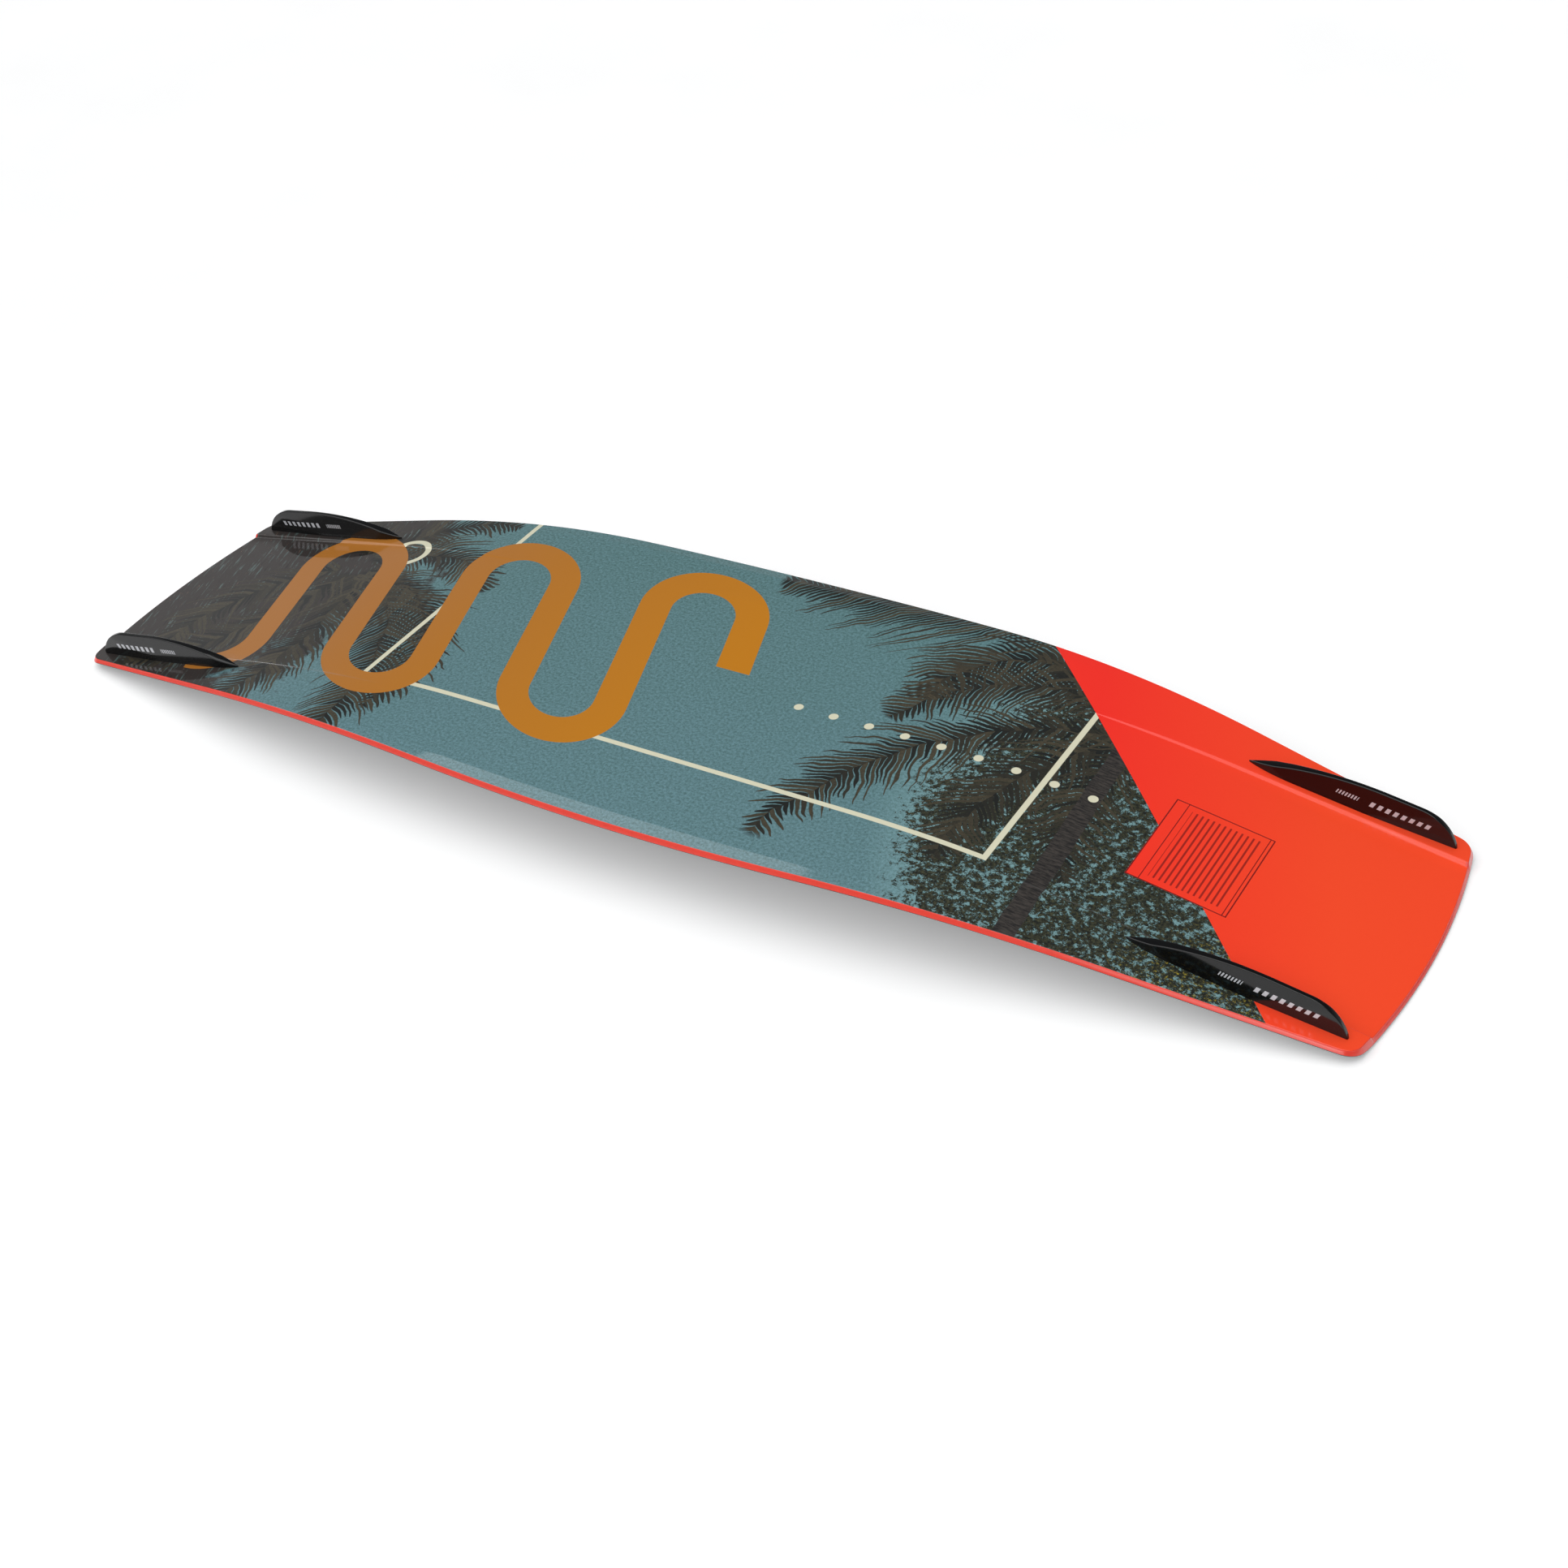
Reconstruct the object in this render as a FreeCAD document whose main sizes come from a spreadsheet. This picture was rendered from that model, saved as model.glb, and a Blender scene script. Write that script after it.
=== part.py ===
import FreeCAD, Part
import math
import os
import Sketcher

# A twin-tip wakeboard, 139 cm long, lying deck down with its base up and no bindings on it.
# X runs along the board, Y across it and Z up; the deck edges at the tips touch Z = 0.
# Lengths are in millimetres and angles in degrees.

SIZES = [
    ("overall_length", 1390.0, "tip to tip, over the deck edge"),
    ("overall_width", 418.0, "widest place, over the deck edges"),
    ("edge_slant", 2.0, "how far the base rim lies inside the deck edge"),
    ("outline_radius", 3332.0, "side curve of the outline"),
    ("taper_length", 239.0, "straight taper of the outline at each tip"),
    ("tip_radius", 740.0, "curve of each tip"),
    ("corner_radius", 17.0, "corner between tip and side"),
    ("flat_length", 400.0, "level middle of the base rocker"),
    ("rocker_radius", 1567.0, "curve of the base rocker"),
    ("ramp_angle", 10.2, "slope of the base at the tips"),
    ("channel_depth", 3.5, "depth of the base channel at the tips"),
    ("channel_fade", 395.0, "length over which the channel runs out"),
    ("riser_run", 2.0, "width of the channel's sloping side"),
    ("crease_half_width", 144.0, "half width of the flat middle of the base"),
    ("crease_drop", 1.4, "fall from the crease to the rail bevel"),
    ("crease_length", 660.0, "length of the two creases"),
    ("rail_width", 13.0, "width of the rail, and of the bevel over it"),
    ("rail_bevel", 2.4, "fall of the bevel at the middle"),
    ("bevel_length", 860.0, "length of the rail bevels"),
    ("edge_middle", 6.0, "height of the edge at the middle"),
    ("edge_tip", 4.0, "height of the edge at the tips"),
    ("deck_thickness", 18.0, "board thickness at the middle"),
    ("ramp_thickness", 11.0, "board thickness on the ramps"),
    ("deck_bevel_middle", 60.0, "width of the deck's sloping border at the middle"),
    ("deck_bevel_tip", 20.0, "width of that border at the tips"),
    ("tip_bevel", 45.0, "length over which the deck thins to the tip edge"),
    ("sheet_thickness", 1.0, "base sheet and top sheet"),
    ("laminate_thickness", 0.8, "each glass laminate"),
    ("spacer_length", 14.0, "tip spacer, along the board"),
    ("stance_half", 280.0, "board middle to the middle of a foot"),
    ("insert_pitch", 25.4, "step between binding inserts"),
    ("insert_rows", 152.4, "distance between the two rows of a foot"),
    ("insert_depth", 8.0, "length of a binding insert"),
    ("insert_width", 10.0, "hexagonal barrel of a binding insert, across its corners"),
    ("insert_flange", 15.0, "its flange at the inner end, across the corners"),
    ("flange_thickness", 1.5, "thickness of that flange"),
    ("tapped_bore", 5.0, "core hole of an M6 thread"),
    ("bore_depth", 7.0, "depth of that hole"),
    ("strip_width", 24.0, "reinforcing strip round a row of inserts"),
    ("strip_margin", 8.0, "strip beyond the last insert"),
    ("strip_height", 6.6, "height of the reinforcing strip"),
    ("fin_length", 194.0, "fin, along its base"),
    ("fin_height", 25.4, "fin, above the base"),
    ("fin_width", 11.5, "fin, across its base"),
    ("fin_crest", 4.5, "width of the crest"),
    ("fin_end_width", 4.0, "width of the steep end"),
    ("fin_nose", 1.5, "height of the low end"),
    ("fin_taper_start", 110.0, "low end to where the fin narrows"),
    ("fin_ramp_length", 36.0, "straight rise at the low end"),
    ("fin_ramp_height", 13.0, "height where that rise ends"),
    ("fin_crest_start", 128.0, "low end to the level part of the crest"),
    ("fin_crest_end", 156.0, "low end to the end of the level part"),
    ("fin_inset", 11.0, "rim at the tip to the fin's middle line"),
    ("channel_margin", 13.0, "fin's middle line to the channel's side"),
    ("fin_setback", 26.0, "tip to the steep end of the fin"),
    ("fin_seat", 0.15, "how deep the fin is let in before it is fitted to the base"),
    ("fin_hole_step", 80.0, "distance between a fin's two screws"),
    ("fin_insert_diameter", 8.0, "threaded insert in a fin"),
    ("fin_insert_length", 8.0, "length of that insert"),
    ("screw_diameter", 6.0, "M6 fin screw"),
    ("screw_reach", 7.0, "length of the screw inside the fin"),
    ("screw_head", 11.0, "diameter of the screw's head"),
    ("head_height", 3.2, "height of the screw's head"),
    ("hole_clearance", 0.3, "gap round a screw or washer, each side"),
    ("clamp_thickness", 8.8, "board between the fin and the washer"),
    ("washer_diameter", 14.0, "cup washer"),
    ("washer_thickness", 1.2, "thickness of the washer"),
    ("plug_wall", 0.7, "solid plug in the core, beyond the washer's seat"),
]

INSERTS_IN_ROW = 6
STATION_STEP = 70.0    # the most between two cross-sections of the board
OVERRUN = 8.0          # how far the layers run past each tip before they are cut
CUTTER_REACH = 60.0    # how far a tip cutter reaches past the board, every way
CORNER_ROUNDS = 20     # rounds in which a tip corner's centre settles

doc = FreeCAD.newDocument("wakeboard")
sheet = doc.addObject("Spreadsheet::Sheet", "sizes")
for line, (alias, value, meaning) in enumerate(SIZES, start=1):
    sheet.set(f"A{line}", meaning)
    sheet.set(f"B{line}", str(value))
    sheet.setAlias(f"B{line}", alias)
doc.recompute()
size = {alias: float(sheet.get(alias)) for alias, _, _ in SIZES}

half_length = size["overall_length"] / 2
ramp = math.radians(size["ramp_angle"])
foot_end = size["stance_half"] + size["insert_pitch"] * (INSERTS_IN_ROW - 1) / 2
deck_flat = foot_end + size["strip_margin"]
skin = size["sheet_thickness"]
laminate = size["laminate_thickness"]


# ---- The form of the board: each function takes x, a distance from the middle of the board ----

def along(x, start, end):
    """How far x has gone from start to end, from 0 to 1."""
    return min(1.0, max(0.0, (x - start) / (end - start)))


def middle_fade(x, length):
    """1 at the middle, falling smoothly to 0 at half of length."""
    return math.cos(math.pi / 2 * along(x, 0.0, length / 2)) ** 2


def taper_slope():
    """Slope of the straight taper, which is tangent to the side curve."""
    start = half_length - size["taper_length"]
    return start / math.sqrt(size["outline_radius"] ** 2 - start ** 2)


def rim_half_width(x):
    """Half width at the base rim: an arc, then its tangent."""
    radius = size["outline_radius"]
    start = half_length - size["taper_length"]
    half = size["overall_width"] / 2 - size["edge_slant"]
    half -= radius - math.sqrt(radius ** 2 - min(x, start) ** 2)
    return half - taper_slope() * max(0.0, x - start)


def rocker_height(x):
    """Base height, 0 at the middle: level, then an arc, then a straight ramp."""
    radius = size["rocker_radius"]
    arc_run = radius * math.sin(ramp)
    run = x - size["flat_length"] / 2
    if run <= 0:
        return 0.0
    if run <= arc_run:
        return math.sqrt(radius ** 2 - run ** 2) - radius
    return -radius * (1 - math.cos(ramp)) - math.tan(ramp) * (run - arc_run)


def channel_height(x):
    """Floor of the channel, which deepens evenly towards the tip."""
    fade = along(x, half_length - size["channel_fade"], half_length)
    return rocker_height(x) - size["channel_depth"] * fade


def edge_height(x):
    return size["edge_middle"] + (size["edge_tip"] - size["edge_middle"]) * (x / half_length) ** 2


def deck_height(x):
    """Deck: level under the feet, then an arc, then parallel to the ramp, thinner at the tip."""
    level = -size["deck_thickness"]
    ramp_start = size["flat_length"] / 2 + size["rocker_radius"] * math.sin(ramp)
    ramp_line = rocker_height(ramp_start) - size["ramp_thickness"]
    ramp_line -= math.tan(ramp) * (x - ramp_start)
    corner = x + (ramp_line - level) / math.tan(ramp)
    radius = (corner - deck_flat) / math.tan(ramp / 2)
    run = x - deck_flat
    if run <= 0:
        return level
    if run < radius * math.sin(ramp):
        return level - radius + math.sqrt(radius ** 2 - run ** 2)
    thinning = size["ramp_thickness"] - size["channel_depth"] - size["edge_tip"]
    thin_start = half_length - size["tip_bevel"]
    return ramp_line + thinning * max(0.0, x - thin_start) / size["tip_bevel"]


fin_line = rim_half_width(half_length) - size["fin_inset"]
channel_half = fin_line - size["channel_margin"]


def base_points(x):
    """Half cross-section of the base, from the middle outwards, as (y, z)."""
    rocker = rocker_height(x)
    rim = rim_half_width(x)
    bevel_inner = rim - size["rail_width"]
    crease_y = min(size["crease_half_width"], (channel_half + bevel_inner) / 2)
    bevel_z = rocker - size["crease_drop"] * middle_fade(x, size["crease_length"])
    rim_z = bevel_z - size["rail_bevel"] * middle_fade(x, size["bevel_length"])
    return [
        (channel_half - size["riser_run"] / 2, channel_height(x)),
        (channel_half + size["riser_run"] / 2, rocker),
        (crease_y, rocker),
        (bevel_inner, bevel_z),
        (rim, rim_z),
    ]


def deck_points(x):
    """Half cross-section of the deck, from the middle outwards, as (y, z)."""
    rim, rim_z = base_points(x)[-1]
    edge_y = rim + size["edge_slant"]
    edge_z = rim_z - edge_height(x)
    border = size["deck_bevel_middle"]
    border += (size["deck_bevel_tip"] - size["deck_bevel_middle"]) * x / half_length
    border_y = rim - border
    border_z = deck_height(x)
    rail_y = rim - size["rail_width"]
    share = (rail_y - border_y) / (edge_y - border_y)
    return [
        (border_y, border_z),
        (rail_y, border_z + share * (edge_z - border_z)),
        (edge_y, edge_z),
    ]


def layer_face(x, side, depth):
    """Half cross-section of the face that lies a depth inside the base or the deck."""
    base = base_points(x)
    deck = deck_points(x)
    rim, rim_z = base[-1]
    edge_y, edge_z = deck[-1]
    points, step = (base, -depth) if side == "base" else (deck, depth)
    inner = [(y, z + step) for y, z in points[:-1]]
    outer_z = points[-1][1] + step
    outer_y = rim + (rim_z - outer_z) / (rim_z - edge_z) * (edge_y - rim)
    return inner, (outer_y, outer_z)


def stations():
    """Places of the cross-sections: where the form changes along the board, and between."""
    turns = [
        0.0,
        size["flat_length"] / 2,
        deck_flat,
        size["flat_length"] / 2 + size["rocker_radius"] * math.sin(ramp),
        half_length - size["tip_bevel"],
        half_length + OVERRUN,
    ]
    places = []
    for start, end in zip(turns, turns[1:]):
        spans = math.ceil((end - start) / STATION_STEP)
        places += [start + (end - start) * step / spans for step in range(1, spans + 1)]
    return [-x for x in reversed(places)] + [0.0] + places


def solid_through(sections):
    """A solid through closed cross-sections, with smooth edges along the board."""
    count = len(sections[0])
    start, end = sections[0][0].x, sections[-1][0].x
    marks = [(section[0].x - start) / (end - start) for section in sections]
    curves = []
    for corner in range(count):
        curve = Part.BSplineCurve()
        curve.interpolate(Points=[section[corner] for section in sections], Parameters=marks)
        curves.append(curve.toShape())
    faces = []
    for corner in range(count):
        faces.append(Part.makeRuledSurface(curves[corner], curves[(corner + 1) % count]))
    for end in (sections[0], sections[-1]):
        faces.append(Part.Face(Part.makePolygon(end + end[:1])))
    shell = Part.Shell(faces)
    shell.sewShape()
    solid = Part.Solid(Part.Shell(shell.Faces))
    if solid.Volume < 0:
        solid.reverse()
    return solid


def layer(upper, lower, to_edge):
    """A layer between two faces, as wide as the board or only as wide as the core."""
    sections = []
    for x in stations():
        top, top_edge = layer_face(abs(x), *upper)
        bottom, bottom_edge = layer_face(abs(x), *lower)
        if to_edge:
            top = top + [top_edge]
            bottom = bottom + [bottom_edge]
        ring = [(-y, z) for y, z in reversed(top)] + top
        ring += list(reversed(bottom)) + [(-y, z) for y, z in bottom]
        sections.append([FreeCAD.Vector(x, y, z) for y, z in ring])
    return solid_through(sections)


def rail(upper, lower, hand):
    """The outer strip between two faces, on the side that hand gives."""
    sections = []
    for x in stations():
        top, top_edge = layer_face(abs(x), *upper)
        bottom, bottom_edge = layer_face(abs(x), *lower)
        ring = [top[-1], top_edge, bottom_edge, bottom[-1]]
        sections.append([FreeCAD.Vector(x, hand * y, z) for y, z in ring])
    return solid_through(sections)


def tip_cutter(hand):
    """All that lies beyond one tip: a curved end with two corners, leaning as the rails do."""
    corner = size["corner_radius"]
    tip_x = half_length - size["edge_slant"]
    tip_centre = tip_x - size["tip_radius"]
    angle = math.atan(taper_slope())
    # The corner's centre is one corner radius inside both the side line and the tip's arc.
    centre_x = tip_x - corner
    for _ in range(CORNER_ROUNDS):
        centre_y = rim_half_width(centre_x) - corner / math.cos(angle)
        centre_x = tip_centre + math.sqrt((size["tip_radius"] - corner) ** 2 - centre_y ** 2)
    centre = FreeCAD.Vector(centre_x, centre_y, 0)
    side_way = FreeCAD.Vector(math.sin(angle), math.cos(angle), 0)
    tip_way = (centre - FreeCAD.Vector(tip_centre, 0, 0)).normalize()
    middle_way = (side_way + tip_way).normalize()
    on_side, middle, on_tip = [centre + way * corner for way in (side_way, middle_way, tip_way)]
    side_out = on_side + FreeCAD.Vector(0, CUTTER_REACH, 0)
    far_out = FreeCAD.Vector(half_length + CUTTER_REACH, side_out.y, 0)

    def mirrored(point):
        return FreeCAD.Vector(point.x, -point.y, 0)

    outline = [
        Part.Arc(on_side, middle, on_tip),
        Part.Arc(on_tip, FreeCAD.Vector(tip_x, 0, 0), mirrored(on_tip)),
        Part.Arc(mirrored(on_tip), mirrored(middle), mirrored(on_side)),
        Part.LineSegment(mirrored(on_side), mirrored(side_out)),
        Part.LineSegment(mirrored(side_out), mirrored(far_out)),
        Part.LineSegment(mirrored(far_out), far_out),
        Part.LineSegment(far_out, side_out),
        Part.LineSegment(side_out, on_side),
    ]
    face = Part.Face(Part.Wire([edge.toShape() for edge in outline]))
    lean = size["edge_slant"] / (size["edge_tip"] + size["channel_depth"])
    top = rocker_height(half_length) + CUTTER_REACH
    face.translate(FreeCAD.Vector(-lean * CUTTER_REACH, 0, top))
    solid = face.extrude(FreeCAD.Vector(lean * 2 * CUTTER_REACH, 0, -2 * CUTTER_REACH))
    if hand < 0:
        solid = solid.mirror(FreeCAD.Vector(0, 0, 0), FreeCAD.Vector(1, 0, 0))
    return solid


def core_space():
    """The length between the two tip spacers."""
    reach = half_length - size["spacer_length"]
    width = size["overall_width"] + 2 * skin
    tall = 2 * half_length
    corner = FreeCAD.Vector(-reach, -width / 2, -tall / 2)
    return Part.makeBox(2 * reach, width, tall, corner)


# ---- Helpers for the bodies ----

def body_plane(body, role):
    for feature in body.Origin.OriginFeatures:
        if feature.Role == role:
            return feature
    raise ValueError(role)


def add_sketch(body, name, role):
    sketch = body.newObject("Sketcher::SketchObject", name)
    sketch.AttachmentSupport = [(body_plane(body, role), "")]
    sketch.MapMode = "FlatFace"
    return sketch


def cell(text):
    """A sizes expression from plain alias names."""
    words = []
    for word in text.replace("(", "( ").replace(")", " )").split():
        words.append(f"sizes.{word}" if word in size else word)
    return " ".join(words)


def number(text):
    """The value of the same expression, to draw the sketch with."""
    parsed = doc.getObject("sizes").evalExpression(cell(text).replace("sizes.", ""))
    return float(parsed)


def bind_point(sketch, geometry, place, across, up):
    """Tie one end of a line to two expressions, measured from the sketch's origin."""
    for kind, axis, text in (("DistanceX", -2, across), ("DistanceY", -1, up)):
        if text == "0":
            sketch.addConstraint(Sketcher.Constraint("PointOnObject", geometry, place, axis))
            continue
        index = sketch.addConstraint(
            Sketcher.Constraint(kind, -1, 1, geometry, place, number(text)))
        sketch.setExpression(f"Constraints[{index}]", cell(text))


def draw_outline(sketch, corners, arcs=None):
    """A closed outline through corners given as expression pairs.

    arcs maps a side's number to the expression pair of its arc's centre and the arc's turn,
    1 for anticlockwise; every other side is straight.
    """
    arcs = arcs or {}
    points = [(number(across), number(up)) for across, up in corners]
    sides = []
    for side, start in enumerate(points):
        end = points[(side + 1) % len(points)]
        if side in arcs:
            centre_text, turn = arcs[side]
            centre = FreeCAD.Vector(number(centre_text[0]), number(centre_text[1]), 0)
            radius = math.hypot(start[0] - centre.x, start[1] - centre.y)
            first = math.atan2(start[1] - centre.y, start[0] - centre.x)
            last = math.atan2(end[1] - centre.y, end[0] - centre.x)
            if turn < 0:
                first, last = last, first
            circle = Part.Circle(centre, FreeCAD.Vector(0, 0, 1), radius)
            sides.append(sketch.addGeometry(Part.ArcOfCircle(circle, first, last)))
        else:
            line = Part.LineSegment(FreeCAD.Vector(*start, 0), FreeCAD.Vector(*end, 0))
            sides.append(sketch.addGeometry(line))
    for side, geometry in enumerate(sides):
        following = sides[(side + 1) % len(sides)]
        leave = 1 if side in arcs and arcs[side][1] < 0 else 2
        next_side = (side + 1) % len(sides)
        enter = 2 if next_side in arcs and arcs[next_side][1] < 0 else 1
        sketch.addConstraint(
            Sketcher.Constraint("Coincident", geometry, leave, following, enter))
        across, up = corners[next_side]
        bind_point(sketch, following, enter, across, up)
        if side in arcs:
            centre_text, turn = arcs[side]
            index = sketch.addConstraint(
                Sketcher.Constraint("DistanceX", -1, 1, geometry, 3, number(centre_text[0])))
            sketch.setExpression(f"Constraints[{index}]", cell(centre_text[0]))


def check_volume(name, before, after, grows):
    """A feature that points the wrong way changes nothing, so its effect is compared."""
    if (after > before) != grows or math.isclose(before, after):
        raise RuntimeError(f"{name} had no effect")


def pad(body, sketch, name, length):
    feature = body.newObject("PartDesign::Pad", name)
    feature.Profile = sketch
    feature.Length = number(length)
    feature.setExpression("Length", cell(length))
    doc.recompute()
    return feature


def pocket(body, sketch, name, length=None, both_ways=False):
    """Cut a sketch out of a body: through all both ways, or to a length above its base."""
    before = body.Shape.Volume
    feature = body.newObject("PartDesign::Pocket", name)
    feature.Profile = sketch
    if both_ways:
        feature.Type = "ThroughAll"
        feature.Midplane = True
    else:
        feature.Length = number(length)
        feature.setExpression("Length", cell(length))
        feature.Reversed = True
    doc.recompute()
    check_volume(name, before, feature.Shape.Volume, grows=False)
    return feature


def revolve(body, sketch, name):
    feature = body.newObject("PartDesign::Revolution", name)
    feature.Profile = sketch
    feature.ReferenceAxis = (sketch, ["V_Axis"])
    feature.Angle = 360
    doc.recompute()
    return feature


def turned_body(name, corners):
    """A body turned about Z from a half section, given as radius and height expressions."""
    body = doc.addObject("PartDesign::Body", name)
    sketch = add_sketch(body, f"{name}_section", "XZ_Plane")
    draw_outline(sketch, corners)
    revolve(body, sketch, f"{name}_turned")
    return body


def hexagon(name, corner_radius, height):
    """A six-sided prism with its foot on Z = 0."""
    prism = doc.addObject("Part::Prism", name)
    prism.Polygon = 6
    prism.setExpression("Circumradius", cell(corner_radius))
    prism.setExpression("Height", cell(height))
    doc.recompute()
    return prism


def put(name, shape):
    """A sub-part whose shape is worked out here, set down on the deck edges."""
    feature = doc.addObject("Part::Feature", name)
    feature.Shape = shape
    feature.Placement = FreeCAD.Placement(lift, FreeCAD.Rotation())
    return feature


def copies(shape, placements):
    """The same solid at several places, as one group."""
    solids = []
    for placement in placements:
        solid = shape.copy()
        solid.Placement = placement
        solids.append(solid)
    return Part.makeCompound(solids)


# ---- Places of what repeats ----

lift = FreeCAD.Vector(0, 0, -deck_height(half_length))
ENDS = {"front": 1, "back": -1}
SIDES = {"heel": 1, "toe": -1}


def fin_placement(end, side):
    """Frame of a fin: origin at its low end, X up the board's ramp to the tip, Z off the base."""
    run = half_length - size["fin_setback"] - size["fin_length"] * math.cos(ramp)
    turn = FreeCAD.Rotation(FreeCAD.Vector(0, 0, 1), 0 if end > 0 else 180)
    tilt = FreeCAD.Rotation(FreeCAD.Vector(0, 1, 0), size["ramp_angle"])
    base = FreeCAD.Vector(end * run, side * fin_line, rocker_height(run))
    return FreeCAD.Placement(base, turn.multiply(tilt))


def screw_placements():
    """Frames of the fin screws, on the base, with Z along the screw towards the fin."""
    placements = []
    for end in ENDS.values():
        for side in SIDES.values():
            frame = fin_placement(end, side)
            for step in (-0.5, 0.5):
                place = size["fin_length"] / 2 + step * size["fin_hole_step"]
                local = FreeCAD.Placement(FreeCAD.Vector(place, 0, 0), FreeCAD.Rotation())
                placements.append(frame.multiply(local))
    return placements


def insert_placements(end, side):
    """Frames of one row of binding inserts, on the deck, with Z into the board."""
    placements = []
    for step in range(INSERTS_IN_ROW):
        place = end * size["stance_half"]
        place += (step - (INSERTS_IN_ROW - 1) / 2) * size["insert_pitch"]
        point = FreeCAD.Vector(place, side * size["insert_rows"] / 2, -size["deck_thickness"])
        placements.append(FreeCAD.Placement(point, FreeCAD.Rotation()))
    return placements


def moved(shape, step):
    """A copy of the shape, moved along Z."""
    copy = shape.copy()
    copy.translate(FreeCAD.Vector(0, 0, step))
    return copy


def without(shape, tools):
    """The shape less each tool in turn."""
    for tool in tools:
        shape = shape.cut(tool)
    return shape


# ---- Fastenings, turned in their own frames ----

screw_form = turned_body("fin_screw_form", [
    ("0", "0 - clamp_thickness - washer_thickness - head_height"),
    ("screw_head / 2", "0 - clamp_thickness - washer_thickness - head_height"),
    ("screw_head / 2", "0 - clamp_thickness - washer_thickness"),
    ("screw_diameter / 2", "0 - clamp_thickness - washer_thickness"),
    ("screw_diameter / 2", "screw_reach"),
    ("0", "screw_reach"),
])
washer_form = turned_body("fin_washer_form", [
    ("screw_diameter / 2 + hole_clearance", "0 - clamp_thickness - washer_thickness"),
    ("washer_diameter / 2", "0 - clamp_thickness - washer_thickness"),
    ("washer_diameter / 2", "0 - clamp_thickness"),
    ("screw_diameter / 2 + hole_clearance", "0 - clamp_thickness"),
])
fin_insert_form = turned_body("fin_insert_form", [
    ("screw_diameter / 2", "fin_seat"),
    ("fin_insert_diameter / 2", "fin_seat"),
    ("fin_insert_diameter / 2", "fin_seat + fin_insert_length"),
    ("screw_diameter / 2", "fin_seat + fin_insert_length"),
])
# A binding insert stands on its mouth: a hexagonal barrel and flange, which can't turn in the strip.
insert_barrel = hexagon("insert_barrel", "insert_width / 2", "insert_depth")
insert_flange = hexagon("insert_flange_form", "insert_flange / 2", "flange_thickness")
flange_place = FreeCAD.Vector(0, 0, size["insert_depth"] - size["flange_thickness"])
insert_flange.Placement = FreeCAD.Placement(flange_place, FreeCAD.Rotation())
insert_outside = doc.addObject("Part::Fuse", "insert_outside")
insert_outside.Base = insert_barrel
insert_outside.Tool = insert_flange
insert_bore = doc.addObject("Part::Cylinder", "insert_bore")
insert_bore.setExpression("Radius", cell("tapped_bore / 2"))
insert_bore.setExpression("Height", cell("bore_depth"))
binding_insert_form = doc.addObject("Part::Cut", "binding_insert_form")
binding_insert_form.Base = insert_outside
binding_insert_form.Tool = insert_bore
doc.recompute()

screws = screw_placements()
fin_screws = put("fin_screws", copies(screw_form.Shape, screws))
fin_washers = put("fin_washers", copies(washer_form.Shape, screws))
fin_inserts = put("fin_inserts", copies(fin_insert_form.Shape, screws))
rows = {(end, side): insert_placements(ENDS[end], SIDES[side]) for end in ENDS for side in SIDES}
all_inserts = [place for row in rows.values() for place in row]
binding_inserts = put("binding_inserts", copies(binding_insert_form.Shape, all_inserts))


# ---- The board's layers ----

clear = size["hole_clearance"]
deep = 2 * size["deck_thickness"]
up = FreeCAD.Vector(0, 0, 1)
screw_hole = Part.makeCylinder(size["screw_diameter"] / 2 + clear, 2 * deep, -up * deep)
seat_radius = size["washer_diameter"] / 2 + clear
seat = Part.makeCylinder(seat_radius, deep - size["clamp_thickness"], -up * deep)
screw_holes = copies(screw_hole, screws)
seated_holes = copies(screw_hole.fuse(seat), screws)
insert_hole = insert_barrel.Shape.fuse(moved(insert_barrel.Shape, -skin)).removeSplitter()
insert_holes = copies(insert_hole, all_inserts)
deck_holes = [seated_holes, insert_holes]
cutters = [tip_cutter(1), tip_cutter(-1)]
middle = core_space()

outside = {"base": ("base", 0.0), "deck": ("deck", 0.0)}
under_sheet = {name: (name, skin) for name in outside}
under_glass = {name: (name, skin + laminate) for name in outside}

base_sheet = layer(outside["base"], under_sheet["base"], to_edge=True)
base_sheet = put("base_sheet", without(base_sheet, cutters + [screw_holes]))
top_sheet = layer(under_sheet["deck"], outside["deck"], to_edge=True)
top_sheet = put("top_sheet", without(top_sheet, cutters + deck_holes))
bottom_laminate = layer(under_sheet["base"], under_glass["base"], to_edge=False)
put("bottom_laminate", without(bottom_laminate.common(middle), [screw_holes]))
top_laminate = layer(under_glass["deck"], under_sheet["deck"], to_edge=False)
put("top_laminate", without(top_laminate.common(middle), deck_holes))
for name, hand in SIDES.items():
    strip = rail(under_sheet["base"], under_sheet["deck"], hand)
    put(f"rail_{name}_side", without(strip, cutters))
spacers = layer(under_sheet["base"], under_sheet["deck"], to_edge=False)
spacers = without(spacers, [middle] + cutters)
for name, hand in ENDS.items():
    spacer = max(spacers.Solids, key=lambda solid: hand * solid.CenterOfMass.x)
    put(f"tip_spacer_{name}", spacer)

# ---- The core and what is set in it ----

core = layer(under_glass["base"], under_glass["deck"], to_edge=False).common(middle)
plug_form = Part.makeCylinder(seat_radius + size["plug_wall"], 2 * deep, -up * deep)
plug_space = copies(plug_form, screws)
plugs = [without(core.common(space), [seated_holes]) for space in plug_space.Solids]
put("fin_plugs", Part.makeCompound([solid for plug in plugs for solid in plug.Solids]))
core = core.cut(plug_space)

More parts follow.
